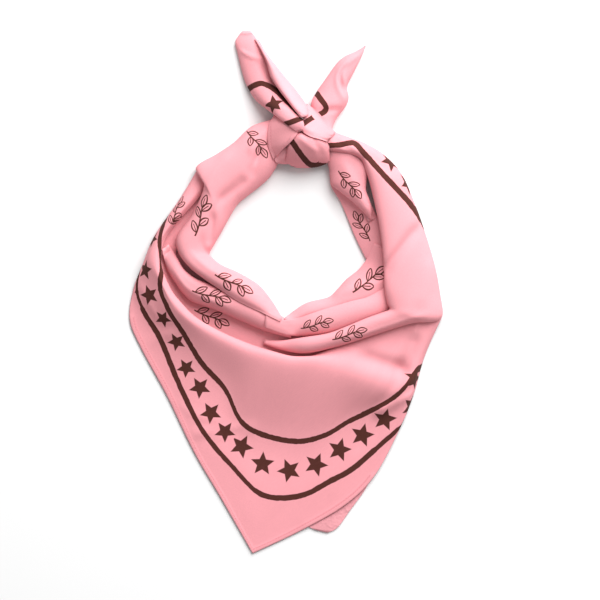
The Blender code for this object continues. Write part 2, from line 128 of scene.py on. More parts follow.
# Floor of the hollow beside the left of the neck, then the narrow ridge and the valley above the bib.
LEFT_VALLEY = (
    (-66, 88, -73, 92, 3, 3, 3),
    (-70, 69, -80, 72, 2.5, 2.5, 2.5),
    (-82, 48, -93, 52, 2.5, 2.5, 2.5),
    (-87, 37, -100, 38, 3, 3.5, 4),
    (-87, 27, -104.5, 23, 5, 6, 8),
    (-83, 11, -99, 5, 5.5, 7, 9),
    (-76, 1, -90.5, -11, 5.5, 7, 9),
    (-67, -4.5, -77, -24, 5.5, 6, 8),
    (-56.5, -8.5, -61, -33, 5.5, 5.5, 6),
    (-42, -13, -42, -41.5, 5.5, 5.5, 5.5),
    (-26, -19, -24, -47.5, 5.5, 5.5, 5.5),
    (-8, -25.5, -6, -52.5, 5.5, 5.5, 5.5),
    (11.5, -27, 13, -54, 6, 6, 6),
    (35, -25.5, 36, -52, 7, 7, 7),
)

# Broad pleat over that valley.
LEFT_PLEAT = (
    (-94, 38, -98.5, 34, 4, 5, 4),
    (-87, 28, -96, 21, 9, 14, 9),
    (-81.5, 18.5, -88, 6.5, 12, 18, 9),
    (-73, 11.5, -77, -6.5, 13, 19, 9),
    (-62.5, 7, -64, -11.5, 13, 19, 9),
    (-50, 1.5, -51, -16.5, 12, 19, 8),
    (-35, -4, -35, -23.5, 11, 18.5, 8),
    (-16.5, -12, -17, -31, 10, 17.5, 8),
    (4.5, -24, 4, -37, 9, 14, 8),
)

# Left of the neck, from the knot to the notch below the opening. The right edge is the opening's.
LEFT_BAND = (
    (-11, 138, -3.5, 108, 7, 15, 6),
    (-28, 132, -13.6, 91, 5, 18, 4.5),
    (-41, 120, -32, 75.7, 5, 19, 4.5),
    (-55, 110.5, -38.5, 70, 5, 19, 4.5),
    (-72, 99.5, -44, 61.5, 5, 19, 4.5),
    (-65.5, 85.5, -50.3, 50, 7, 19, 4.5),
    (-74.5, 63, -57, 38.5, 7, 19, 4.5),
    (-87.5, 44, -61.2, 30.8, 8, 19.5, 4.5),
    (-85.5, 31, -59, 27.5, 11, 20, 4.5),
    (-77.3, 20, -51, 21.3, 14, 21.5, 4.5),
    (-66, 10.8, -40, 16.5, 15, 22, 4.5),
    (-52, 1.5, -29, 10.5, 14, 21.5, 4.5),
    (-37, -8, -20, 4, 14, 21, 4.5),
    (-19, -16.5, -11, -7.5, 13, 18, 4.5),
    (-4.5, -23.5, -3, -20.5, 11, 13, 5),
)

# Pleats on the right of the notch: the first borders the opening, the second lies on it.
RIGHT_PLEAT_INNER = (
    (70.5, 39, 85, 33, 5, 7, 8),
    (64.4, 26.4, 84, 15, 3, 8, 9),
    (57.6, 17.6, 78.5, 0.5, 3, 10.5, 9),
    (48.5, 10.4, 62, -8.5, 3, 12.5, 8),
    (40.8, 2, 48, -12, 3, 13, 8),
    (33.6, -4.2, 36.5, -16, 3, 13, 8),
    (15.2, -9.2, 19, -20, 3, 13, 8),
    (-1.2, -20.8, 2.5, -26, 4, 11, 8),
)
RIGHT_PLEAT_MIDDLE = (
    (90, 11, 91, -11, 9, 12, 8),
    (78.5, 3.5, 82, -16.5, 9, 15, 8),
    (64.5, -4, 69, -22, 9, 18, 8),
    (52, -7.2, 53, -28.5, 9, 18.5, 7.5),
    (36, -12, 36, -34, 9, 18.5, 7),
    (21, -16.8, 22.5, -35.5, 9, 17.5, 7),
    (9, -20.8, 9.5, -35.5, 8, 14, 7),
    (-3, -22, -3, -33, 6, 9, 6),
    (-16, -17, -17, -28, 5, 7, 5),
)

# Inside of the cloth on the right of the opening, and the twisted tongue that lies on it.
RIGHT_INNER = (
    (34.8, 97.6, 51, 96, 2.5, 6, 8),
    (36, 85, 63, 80, 2.5, 6.5, 9),
    (43.2, 72.8, 71, 64, 2.5, 6.5, 9),
    (47.6, 63, 76, 54, 2.5, 6.5, 9),
    (54, 47.2, 80.5, 41.5, 2.5, 6.5, 9),
    (59.5, 35.2, 82, 31, 2.5, 6.5, 9),
    (64.4, 25.8, 83.5, 21.5, 2.5, 6.5, 9),
)
RIGHT_TONGUE = (
    (30.5, 112, 54, 120, 9, 15, 11),
    (34.4, 97.6, 65, 101, 6, 17, 12),
    (36, 86.4, 64.5, 90, 6, 17, 12),
    (43.2, 80, 64, 81, 8, 16.5, 12),
    (51.2, 73.6, 66.8, 73.5, 9, 16, 12),
    (59, 66.4, 68.6, 66, 9, 15, 11),
    (65, 60.4, 68.4, 60.5, 9, 12, 10),
    (68.4, 57, 69.2, 57.4, 8.5, 9.5, 9),
)

# Right of the neck, from the knot round to the crest that ends above the bib.
RIGHT_BAND = (
    (28, 131, 28, 113, 12, 19, 12),
    (47.2, 124.8, 46.5, 111, 5, 20, 14),
    (63.2, 118.8, 59.2, 106.4, 5, 21, 14),
    (78.4, 109.6, 64, 95.2, 5, 21, 14),
    (92.6, 94, 67.6, 83.2, 5, 21, 14),
    (103.6, 69, 71.2, 68, 5, 21, 15),
    (111, 48, 75.2, 48, 5, 21, 16),
    (119.2, 20.4, 77.6, 26.5, 5, 21.5, 17),
    (123.4, -2.4, 78.4, 3.2, 5, 22, 17),
    (125.2, -18.5, 80.4, -8.8, 5, 22, 16),
    (118.5, -23.5, 82.4, -13.6, 7, 22.5, 16),
    (101, -25, 76, -16.5, 11, 22.5, 15),
    (79.5, -31.5, 64, -20.8, 12, 22.5, 15),
    (59.5, -38, 48, -27.5, 13, 22.5, 15),
    (39.5, -44, 33.6, -32.8, 13, 22, 15),
    (15.5, -49, 14.5, -36, 13, 21, 14),
    (-3.5, -46.4, -3, -38.5, 9, 13, 9),
    (-18, -41.6, -17.5, -38.4, 7, 8.5, 7),
)

# The knot's wraps, from the lowest to the highest.
KNOT_CREASE = (
    (-4, 114, 4, 117, 18, 20, 20),
    (-9, 107, 1, 107, 9, 15, 14),
    (-7, 102.6, 2, 102.2, 4, 9, 6),
)
KNOT_LOWER_WRAP = (
    (2, 119, -1, 104.6, 20, 21, 5),
    (9, 127, 5.6, 100, 24, 27, 4.5),
    (15.5, 126, 14.4, 99, 25, 28, 4.5),
    (22.5, 124.5, 23.2, 99.5, 24, 27.5, 4.5),
    (30, 122.5, 31.2, 101.8, 19, 24, 5),
    (34.5, 116, 35, 105, 14, 17, 8),
)
KNOT_UPPER_WRAP = (
    (16.8, 150.4, 14, 138, 8, 19, 22),
    (24, 144.8, 12, 129, 6, 25, 27),
    (31.2, 136.8, 18.5, 123.6, 6, 26, 27),
    (36.4, 130.5, 27, 121.2, 9, 22, 23),
    (39.8, 127, 33, 119.5, 11, 17, 17),
)
KNOT_LEFT_WRAP = (
    (-9.6, 141.2, -2.5, 137.5, 11, 19, 20),
    (-13.6, 133.6, 5, 132, 13, 25, 27),
    (-14.8, 124.8, 10, 128, 14, 26.5, 28),
    (-14, 115.2, 4, 119.2, 13, 24.5, 26),
    (-11.6, 109.6, -3.2, 112.8, 10, 19, 20),
    (-10, 105.6, -6.4, 108.4, 8.5, 13, 13),
)

# The two ends beyond the knot.
TAIL_RIGHT = (
    (60.8, 195.4, 63.3, 197, 2.4, 3, 2.4),
    (55.2, 192.2, 62, 192, 2.4, 5, 3),
    (47.2, 188.6, 59.2, 185.6, 2.4, 7.5, 3.5),
    (40.8, 183.2, 53.6, 174.4, 2.4, 10, 3.5),
    (32.8, 172, 48.8, 164, 2.4, 12, 3.5),
    (24.8, 160.5, 50.2, 155.5, 3, 14, 3.5),
    (20, 150.4, 47.6, 148.2, 5, 16, 3.5),
    (22.4, 141.6, 40.8, 139.2, 9, 16, 5),
    (28, 134.4, 37.2, 131.4, 12, 17, 9),
    (30, 125, 36, 124, 17, 20, 17),
)
TAIL_LEFT = (
    (-35, 208.6, -28.6, 209, 2.4, 3.2, 2.6),
    (-40.4, 200.5, -22.4, 201, 2.4, 6, 3.5),
    (-38.8, 191.2, -16, 190, 2.4, 8, 4),
    (-34, 172, -11, 172.8, 2.4, 10, 5),
    (-29.9, 162, -5.4, 161.6, 3, 13, 7),
    (-24, 153, 2, 152, 4, 18, 11),
    (-14.4, 145, 8.4, 144, 10, 26, 20),
    (-4.8, 137.4, 13, 137.6, 24, 32.5, 28),
    (3.2, 131, 14.6, 132, 30, 33.5, 31),
    (9.4, 126.8, 13.8, 128, 30, 31.5, 30),
)
TAIL_LEFT_FLAP = (
    (-24.8, 202, -22, 201, 5, 7, 4),
    (-20, 193.6, -15.8, 190.6, 8, 11, 4),
    (-15.2, 183.2, -7, 179.2, 10, 14, 4),
    (-12, 172, -0.6, 171.2, 12, 16, 4),
    (-5.6, 161.6, 7.4, 161.6, 15, 19, 4.5),
    (1.6, 152, 14.6, 151.2, 20, 24, 7),
    (8, 143.6, 17, 145.6, 28, 31, 18),
    (12.2, 138.4, 17.4, 140, 32, 33, 28),
)

# The bib, its border and the strip that it becomes up the left side. A row is a section from the hem,
# or from the silhouette where the hem is turned under, to the edge that goes under the pleats. Each
# rail has x, y and z: the hem, the printed border's outer and inner lines, the swell and the top edge.
RAILS = ("hem", "outer_line", "inner_line", "swell", "top")
BIB_FRONT = (
    ((-69, 101, 1.4), (-66, 98, 5), (-63, 95, 6), (-60, 92.5, 6), (-57, 90, 4)),
    ((-85.6, 73.6, 1.4), (-84.4, 73.2, 8), (-80.5, 72.6, 11.5), (-76.5, 72, 11.5), (-73, 71.2, 7)),
    ((-104.8, 45.6, 1.4), (-103.8, 45.4, 8), (-101, 45.2, 13), (-98, 45, 14), (-95, 44.8, 9)),
    ((-114, 24, 1.4), (-113, 24, 7), (-109.5, 24, 15), (-103.5, 24, 18), (-99.5, 24, 14)),
    ((-122.4, 1, 1.4), (-119.5, 0.6, 4.5), (-100.4, 2.4, 17), (-96.6, 3.4, 19.5), (-92.6, 4, 15)),
    ((-125.0, -22.4, 1.4), (-112, -18.4, 4.4), (-92.8, -16, 16), (-87.4, -11.6, 20), (-83.4, -8.6, 16)),
    ((-116, -44.8, 1.4), (-100.8, -36.8, 3.8), (-82.4, -32, 12), (-75.2, -24.4, 19), (-71, -20.6, 16)),
    ((-95.2, -83.2, 1.4), (-84.8, -75.2, 3.4), (-67.2, -56.8, 8), (-56, -37, 18.5), (-51, -32, 15)),
    ((-73.6, -128, 1.4), (-66.4, -111.2, 3), (-48.8, -77.6, 5.5), (-33, -48, 18.5), (-28.6, -41.4, 13)),
    ((-51.2, -166.4, 1.4), (-43.2, -139.2, 2.6), (-36, -103.2, 4.2), (-14, -54.5, 20.5), (-11, -47, 13)),
    ((-26.8, -209.0, 1.4), (-19.2, -162, 2.2), (-17.6, -114.4, 3.6), (3, -58, 21.5), (5, -51, 13)),
    ((11.2, -191.2, 1.4), (10.4, -163.2, 2.4), (9.3, -119.4, 3.8), (20.8, -58.5, 21.5), (19.4, -51, 12)),
    ((47.2, -170.4, 2.8), (35.2, -151.2, 3.2), (31.2, -114.4, 4.6), (40, -62, 20.5), (36, -44.5, 11)),
    ((71.2, -146.4, 2.8), (56.8, -138.4, 4), (50.4, -103.2, 5.5), (59.2, -67, 19.5), (53, -37, 10)),
    ((91.6, -108, 2.8), (87.6, -108, 5), (73.6, -92, 8), (78.4, -71, 17), (73, -28, 10)),
    ((102.2, -81.6, 1.4), (99.6, -80.8, 7), (93.6, -78, 11), (90, -64, 13), (94, -20.5, 10)),
    ((111, -51.2, 1.4), (108.6, -49.6, 7.5), (104.6, -45.6, 11), (101.6, -36, 12), (109, -15.5, 10)),
    ((125, -19.6, 2), (124, -18.6, 4), (122.6, -17, 5), (120.6, -14, 6), (118, -9, 6)),
)
BIB_POINT_ROW = 10  # the section at the bib's point, where the hem turns a sharp corner

# The largest soft folds, as straight ridges or, with a negative height, troughs. Columns: where each
# starts (x, y) and ends (x, y), how far it reaches to either side, and its height.
BIB_FOLDS = (
    (-84, -115.5, -20, -108, 6, 2.8),
    (-118, -44, -84, -30, 7, 1.6),
    (52, -48, 104, -66, 9, -4),
    (66, -100, 116, -74, 5, 2.4),
)
RIGHT_BAND_FOLDS = (
    (108, 58, 72, 8, 6, -2.0),
    (108, 88, 116, 40, 7, -1.2),
    (62, 112, 88, 92, 5, -1.4),
)
LEFT_BAND_FOLDS = (
    (-17, 116, -31, 90, 5, -2.4),
    (-30, 94, -57, 70, 5, -2.0),
    (-58, 66, -62, 34, 5, -2.2),
    (-38, 14, -16, -3, 4, -2.0),
)

# %% [markdown]
# ## From a table to a sheet of points
#
# A curve through the rows (Catmull-Rom) passes every row exactly and turns softly between them. The
# stations along it are a fixed step apart, so that weave and print keep one scale all over the cloth.

# %% Curves through the rows
FINE_STEPS = 30  # from one row to the next, when a curve is measured
FEWEST_STEPS = 6
ARCH = 0.9  # below 1 an arch is fuller than half a sine wave


def between(points, place, sharp=None):
    """The value at a place along the rows; a sharp row keeps its corner."""
    last = len(points) - 1
    i = min(int(place), last - 1)
    f = place - i
    here, there = points[i], points[i + 1]
    slope_here = (there - points[max(i - 1, 0)]) / 2 * (0.0 if sharp == i else 1.0)
    slope_there = (points[min(i + 2, last)] - here) / 2 * (0.0 if sharp == i + 1 else 1.0)
    f2, f3 = f * f, f * f * f
    return (
        here * (2 * f3 - 3 * f2 + 1)
        + slope_here * (f3 - 2 * f2 + f)
        + there * (3 * f2 - 2 * f3)
        + slope_there * (f3 - f2)
    )


def even_places(points, first, last):
    """Places from one row to another that lie about a STEP of real length apart."""
    fine = np.linspace(first, last, FINE_STEPS * (last - first) + 1)
    curve = np.array([between(points, place) for place in fine])
    run = np.concatenate([[0], np.cumsum(np.linalg.norm(np.diff(curve, axis=0), axis=1))])
    count = max(FEWEST_STEPS, int(run[-1] / STEP))
    return np.interp(np.linspace(0, run[-1], count + 1), run, fine)


def two_edge_sheet(table, across):
    """Rows of points from left edge to right edge, arched over the crown between them."""
    rows = np.array(table, float)
    middle = (rows[:, 0:2] + rows[:, 2:4]) / 2
    angle = np.pi * np.arange(across + 1) / across
    t = ((1 - np.cos(angle)) / 2)[:, None]
    sheet = []
    for place in even_places(middle, 0, len(rows) - 1):
        left_x, left_y, right_x, right_y, left_z, crown_z, right_z = between(rows, place)
        left = np.array((left_x, left_y, left_z))
        right = np.array((right_x, right_y, right_z))
        points = left + (right - left) * t
        points[:, 2] += (crown_z - (left_z + right_z) / 2) * np.sin(angle) ** ARCH
        sheet.append(points)
    return np.array(sheet)


print("a valley sheet has", two_edge_sheet(LEFT_VALLEY, 20).shape[:2], "points")

# %% [markdown]
# ## Soft folds
#
# Cotton this light creases in long, shallow, uneven ridges. Each is listed: where it starts
# and ends, how wide it is and how high. A negative height is a trough. The ends fade away, and the
# fold does nothing where the cloth lies on the table, since the table would stop it.

# %% Raise a sheet along its folds
HELD = 1.0  # cloth this low lies on the table and can't move
LOOSENING = 5.0  # how much higher it moves freely
FADING = 0.25  # the share of a fold's length over which each of its ends fades


def freedom(sheet):
    """How freely each point may rise or fall: not at all on the table, fully well above it."""
    return np.clip((sheet[:, :, 2] - HELD) / LOOSENING, 0, 1)


def eased(share):
    """A share from 0 to 1, held to that range, that leaves 0 and reaches 1 softly."""
    share = np.clip(share, 0, 1)
    return share * share * (3 - 2 * share)


def creased(sheet, folds):
    """The largest folds, each along a straight line."""
    sheet = sheet.copy()
    free = freedom(sheet)
    for from_x, from_y, to_x, to_y, half_width, height in folds:
        start = np.array((from_x, from_y), float)
        run = np.array((to_x, to_y), float) - start
        along = ((sheet[:, :, :2] - start) @ run) / (run @ run)
        nearest = start + np.clip(along, 0, 1)[:, :, None] * run
        away = np.linalg.norm(sheet[:, :, :2] - nearest, axis=2) / half_width
        ends = eased(np.minimum(along, 1 - along) / FADING)
        sheet[:, :, 2] += height * free * ends * np.exp(-2 * away * away)
    return sheet


# %% Soft folds along a curve
CURVE_STEPS = 12  # from one of a curve's points to the next
DROP_SLOPE = 0.7  # how steep a drop is, for its half width
DROP_REACH = 12.0  # how far beyond a drop the cloth takes to rise again


def beside(line, xy):
    """Along the line, and out to its left side, for each point."""
    start, run = line[:-1], np.diff(line, axis=0)
    length = np.linalg.norm(run, axis=1)
    travelled = np.concatenate([[0], np.cumsum(length)[:-1]])
    flat = xy.reshape(-1, 2)
    offset = flat[:, None, :] - start[None]
    t = np.clip((offset * run[None]).sum(2) / (length**2)[None], 0, 1)
    gap = offset - t[:, :, None] * run[None]
    distance = np.linalg.norm(gap, axis=2)
    best = distance.argmin(axis=1)
    pick = np.arange(len(flat))
    side = np.sign(run[best, 0] * gap[pick, best, 1] - run[best, 1] * gap[pick, best, 0])
    along = travelled[best] + t[pick, best] * length[best]
    shape = xy.shape[:2]
    return along.reshape(shape), (side * distance[pick, best]).reshape(shape)


def soft_curve(points):
    """Many points on a soft curve through a few."""
    points = np.array(points, float)
    places = np.linspace(0, len(points) - 1, CURVE_STEPS * (len(points) - 1) + 1)
    return np.array([between(points, place) for place in places])


def wrinkled(sheet, wrinkles):
    """Finer folds. Each has its curve, half width, height, and how far the cloth to its left drops."""
    sheet = sheet.copy()
    free = freedom(sheet)
    for points, half_width, height, drop in wrinkles:
        curve = soft_curve(points)
        length = np.linalg.norm(np.diff(curve, axis=0), axis=1).sum()
        along, out = beside(curve, sheet[:, :, :2])
        ends = eased(np.minimum(along, length - along) / (FADING * length))
        step = np.clip(out / half_width * DROP_SLOPE + 0.5, 0, 1)
        step = step * np.exp(-np.maximum(out, 0) / DROP_REACH)
        ridge = height * np.exp(-2 * (out / half_width) ** 2)
        sheet[:, :, 2] += free * ends * (ridge - drop * step)
    return sheet


# %% [markdown]
# ## Laying one stretch on another
#
# Cloth can't pass through cloth. The heap remembers every sheet laid so far, and each new one is
# lifted wherever it would touch. Casting rays straight down is quick and is all that a flat-lying
# thing needs; a cloth simulation would settle it too, but it would also undo the folds that make
# this scarf look like itself.

# %% The heap
HIGH = 200.0  # where the downward rays start
REACH = 1.6  # how far round a point the cloth beneath is felt
RING_RAYS = 6


class Heap:
    """The upper faces of everything laid so far, felt from above."""

    def __init__(self):
        self.points = []
        self.faces = []
        self.tree = None

    def add(self, sheet):
        rows, columns = sheet.shape[:2]
        first = len(self.points)
        self.points += [Vector(point) for point in sheet.reshape(-1, 3)]
        for i in range(rows - 1):
            for j in range(columns - 1):
                a = first + i * columns + j
                self.faces.append((a, a + 1, a + columns + 1, a + columns))
        self.tree = BVHTree.FromPolygons(self.points, self.faces)

    def height(self, x, y):
        """How high the heap is here."""
        if self.tree is None:
            return TABLE
        hit = self.tree.ray_cast(Vector((x, y, HIGH)), Vector((0, 0, -1)))[0]
        return TABLE if hit is None else hit.z

    def distance(self, point):
        """How far the nearest cloth lies, in any direction."""
        return HIGH if self.tree is None else self.tree.find_nearest(Vector(point))[3]

    def height_near(self, x, y):
        """The greatest height here or on a small ring round it."""
        turns = [math.tau * k / RING_RAYS for k in range(RING_RAYS)]
        ring = [(x + REACH * math.cos(turn), y + REACH * math.sin(turn)) for turn in turns]
        return max(self.height(*place) for place in [(x, y)] + ring)


# %% Laying a sheet on the heap
DRAPE = 6  # how many points away a lift is still felt
SLOPE_ROOM = CLOTH * 1.2  # the wall's thickness straight down, on a slope
LOWERINGS = 4


def softened(values):
    """Values spread among their neighbours, never below where they began."""
    least = values.copy()
    for _ in range(DRAPE):
        wide = np.pad(values, 1, mode="edge")
        wide = (wide[:-2, 1:-1] + wide[2:, 1:-1] + wide[1:-1, :-2] + wide[1:-1, 2:]) / 4
        values = np.maximum(least, wide)
    return values


def laid(sheet):
    """The sheet lifted clear of the heap; the lift is spread so that the cloth drapes over steps."""
    rows, columns = sheet.shape[:2]
    lift = np.zeros((rows, columns))
    for i in range(rows):
        for j in range(columns):
            x, y, z = sheet[i, j]
            below = heap.height_near(x, y)
            if below > TABLE:
                lift[i, j] = max(0.0, below + CLEARANCE + SLOPE_ROOM - z)
    sheet = sheet.copy()
    sheet[:, :, 2] += softened(lift)
    for _ in range(LOWERINGS):
        spare = min(heap.distance(point) for point in sheet.reshape(-1, 3)) - CLEARANCE - CLOTH
        if spare <= 0:
            break
        sheet[:, :, 2] -= spare * freedom(sheet)
    return sheet


heap = Heap()

# %% [markdown]
# ## Folded edges
#
# Where the photo shows a pleat's edge the cloth doesn't stop: it turns under. A quarter turn down
# from the edge, then a short run inwards, is enough to see from any side. The turn is as wide as the
# room above whatever lies beneath, so a fold that lies on the table rolls right down to it.

# %% Turn an edge under
TUCK_ANGLES = (25, 50, 72, 90)
TUCK_COLUMNS = len(TUCK_ANGLES) + 1
TUCK_RUN = 2.5  # how far the cloth runs in beneath, after its turn
TIGHTEST_TUCK = 0.35
WIDEST_TUCK = 4.5
TUCK_CHANGE = 0.2  # how much a turn may be wider than its neighbours' mean
TUCK_EVENINGS = 3
ROOM_PROBE = 1.5  # how far in from the edge the room beneath is felt


def tuck(sheet):
    """The points that carry the sheet's first column round and under."""
    columns = []
    edge = sheet[:, 0]
    inward = sheet[:, sheet.shape[1] // 2, :2] - edge[:, :2]
    inward /= np.maximum(np.linalg.norm(inward, axis=1, keepdims=True), 1e-6)
    room = []
    for point, way in zip(edge, inward):
        x, y = point[:2] + way * ROOM_PROBE
        below = max(heap.height(point[0], point[1]), heap.height(x, y), TABLE)
        room.append(point[2] - below - CLEARANCE)
    radius = np.clip(np.array(room), TIGHTEST_TUCK, WIDEST_TUCK)
    for _ in range(TUCK_EVENINGS):
        mean = (np.roll(radius, 1) + np.roll(radius, -1) + radius) / 3
        radius = np.minimum(radius, mean + TUCK_CHANGE)
    for degrees in TUCK_ANGLES:
        angle = math.radians(degrees)
        point = edge.copy()
        point[:, :2] += inward * (radius * (1 - math.cos(angle)))[:, None]
        point[:, 2] -= radius * math.sin(angle)
        columns.append(point)
    last = columns[-1].copy()
    last[:, :2] += inward * TUCK_RUN
    columns.append(last)
    return np.stack(columns[::-1], axis=1)


def with_tucks(sheet, left, right):
    """The sheet with the turns of its left and right edges."""
    before = [tuck(sheet)] if left else []
    after = [tuck(sheet[:, ::-1])[:, ::-1]] if right else []
    return np.concatenate(before + [sheet] + after, axis=1)


# %% [markdown]
# ## Coordinates of the flat cloth
#
# A print follows the thread, not the room. So every point of a sheet also gets its place on the flat
# cloth: how far along, how far across, how far from the hem. They become UV maps, in millimetres:
#
# * cloth: along and across the stretch, for the weave
# * border: along the hem and away from it, for the two printed lines
# * hem: along the stretch and away from its own hemmed edge, for the roll and the stitches
# * star and sprig: measured from the middle of the nearest motif, face by face, so that no face is
#   torn between two of them

# %% Distances over a sheet
RUN_ON = 60.0  # how far a printed line is carried on past its ends


def run_along(sheet, axis):
    """Real distance from the first row (axis 0) or the first column (axis 1)."""
    steps = np.linalg.norm(np.diff(sheet, axis=axis), axis=2)
    start = np.zeros_like(np.take(steps, [0], axis=axis))
    return np.concatenate([start, np.cumsum(steps, axis=axis)], axis=axis)


def carried_line(points):
    """A soft curve through a few points, carried straight on past both of its ends."""
    curve = soft_curve(points)
    head, tail = (
        end + (end - inner) / np.linalg.norm(end - inner) * RUN_ON
        for end, inner in ((curve[0], curve[1]), (curve[-1], curve[-2]))
    )
    return np.vstack([head, curve, tail])


def border_from_lines(sheet, lines):
    """Along and away from the hem, from where the printed lines cross this stretch. lines is
    (distance from the hem, points with the hem on their left) for one line or two."""
    found = [(value, *beside(carried_line(points), sheet[:, :, :2])) for value, points in lines]
    value, along, out = found[0]
    away = value - out
    if len(found) == 2:
        other, _, far_out = found[1]
        half = np.maximum(far_out - out, 1e-3) / 2
        middle = np.where(-out < half, value + np.minimum(-out, HALF_GAP),
                          other - np.minimum(far_out, HALF_GAP))
        away = np.where(out > 0, value - out, np.where(far_out < 0, other - far_out, middle))
    return np.stack([along, away], axis=2)


# %% [markdown]
# ## From points to a mesh
#
# Blender's grid operator makes the faces, and its points are then moved to the sheet. The sheet has
# a top face only; a Solidify modifier gives the wall, and marks the wall's underside with the
# second material, because this cotton is printed on one face.

# %% Motifs on a sheet
MOST_STRETCH = 3.0  # how much a motif's flat places grow where the cloth slopes away
LEAST_GAP = 0.1  # keeps a motif's own middle from dividing by nothing


def motif_map(sheet, face_middles, motifs):
    """For each face its nearest motif, and for each motif every point's place from its middle: real
    millimetres over the cloth, turned so that the motif's x axis points the way it asks."""
    rows, columns = sheet.shape[:2]
    frames = []
    for x, y, turn, scale in motifs:
        gap = np.linalg.norm(sheet[:, :, :2] - np.array((x, y)), axis=2)
        i, j = np.unravel_index(gap.argmin(), gap.shape)
        i, j = np.clip(i, 1, rows - 2), np.clip(j, 1, columns - 2)
        normal = np.cross(sheet[i + 1, j] - sheet[i - 1, j], sheet[i, j + 1] - sheet[i, j - 1])
        normal *= np.sign(normal[2]) / np.linalg.norm(normal)
        drop = (normal[:2] @ (np.array((x, y)) - sheet[i, j, :2])) / normal[2]
        middle = np.array((x, y, sheet[i, j, 2] - drop))
        c, s = math.cos(math.radians(turn)), math.sin(math.radians(turn))
        tip = np.array((c, s, -(normal[0] * c + normal[1] * s) / normal[2]))
        tip /= np.linalg.norm(tip)
        side = np.cross(normal, tip)
        from_middle = sheet - middle
        flat = np.stack([from_middle @ tip, from_middle @ side], axis=2)
        grown = np.linalg.norm(from_middle, axis=2)
        grown = np.minimum(grown / np.maximum(np.linalg.norm(flat, axis=2), LEAST_GAP), MOST_STRETCH)
        frames.append((flat * grown[:, :, None] / scale).reshape(-1, 2))
    centres = np.array([motif[:2] for motif in motifs])
    nearest = np.linalg.norm(face_middles[:, None] - centres[None], axis=2).argmin(axis=1)
    return np.array(frames), nearest


# %% Meshes and objects
def grid_surface(sheet):
    """A grid whose points are moved to the sheet's."""
    rows, columns = sheet.shape[:2]
    surface = bmesh.new()
    bmesh.ops.create_grid(surface, x_segments=columns - 1, y_segments=rows - 1, size=1.0)
    surface.verts.ensure_lookup_table()
    for vertex, point in zip(surface.verts, sheet.reshape(-1, 3)):
        vertex.co = Vector(point) * MM
    return surface


def finished_mesh(name, surface):
    """The bmesh as a mesh of its own."""
    mesh = bpy.data.meshes.new(name)
    surface.to_mesh(mesh)
    surface.free()
    return mesh


def placed(name, data):
    """An object in the scene."""
    made = bpy.data.objects.new(name, data)
    bpy.context.scene.collection.objects.link(made)
    return made


def cloth_mesh(name, sheet, maps, motifs):
    """An open mesh through the sheet's points, facing up, with its UV maps."""
    surface = grid_surface(sheet)
    surface.normal_update()
    if sum(face.normal.z * face.calc_area() for face in surface.faces) < 0:
        bmesh.ops.reverse_faces(surface, faces=surface.faces)
    mesh = finished_mesh(name, surface)
    corners = np.zeros(len(mesh.loops), np.int32)
    mesh.loops.foreach_get("vertex_index", corners)
    for label, values in maps.items():
        layer = mesh.uv_layers.new(name=label)
        layer.data.foreach_set("uv", values.reshape(-1, 2)[corners].astype(np.float32).ravel())
    middles = sheet.reshape(-1, 3)[corners.reshape(-1, 4)].mean(axis=1)[:, :2]
    for label, places in motifs.items():
        values = np.full((len(corners), 2), FAR)
        if places:
            frames, nearest = motif_map(sheet, middles, places)
            values = frames[np.repeat(nearest, 4), corners]
        layer = mesh.uv_layers.new(name=label)
        layer.data.foreach_set("uv", values.astype(np.float32).ravel())
    mesh.shade_smooth()
    return mesh


# %% [markdown]
# ## Shader maths in plain Python
#
# A printed pattern is arithmetic: distance to a line, inside or outside a star. Writing it with
# dozens of hand-linked Math nodes hides the idea, so a small class lets Python's own operators add
# the nodes. Colours and vectors go through their own nodes, because a Math node greys them.

# %% Expressions that build nodes
class Value:
    """A number that varies over the surface. Arithmetic on it adds Math nodes."""

    def __init__(self, paint, socket):
        self.paint = paint
        self.socket = socket

    def math(self, operation, *others, clamp=False):
        settings = {"operation": operation, "use_clamp": clamp}
        made = self.paint.node("ShaderNodeMath", settings, dict(enumerate((self, *others))))
        return Value(self.paint, made.outputs[0])

    def __add__(self, other):
        return self.math("ADD", other)

    def __sub__(self, other):
        return self.math("SUBTRACT", other)

    def __rsub__(self, other):
        return self.math("MULTIPLY_ADD", -1.0, other)

    def __mul__(self, other):
        return self.math("MULTIPLY", other)

    def __truediv__(self, other):
        return self.math("DIVIDE", other)

    def __pow__(self, other):
        return self.math("POWER", other)

    def __mod__(self, other):
        return self.math("FLOORED_MODULO", other)

    def __abs__(self):
        return self.math("ABSOLUTE")

    def __lt__(self, other):
        return self.math("LESS_THAN", other)

    def __gt__(self, other):
        return self.math("GREATER_THAN", other)

    __radd__ = __add__
    __rmul__ = __mul__

    def sin(self):
        return self.math("SINE")

    def cos(self):
        return self.math("COSINE")

    def inside(self, edge):
        """1 where this distance is below zero, 0 where it is above, soft over the edge."""
        return self.math("MULTIPLY_ADD", -1.0 / edge, 0.5, clamp=True)

    def most(self, other):
        return self.math("MAXIMUM", other)


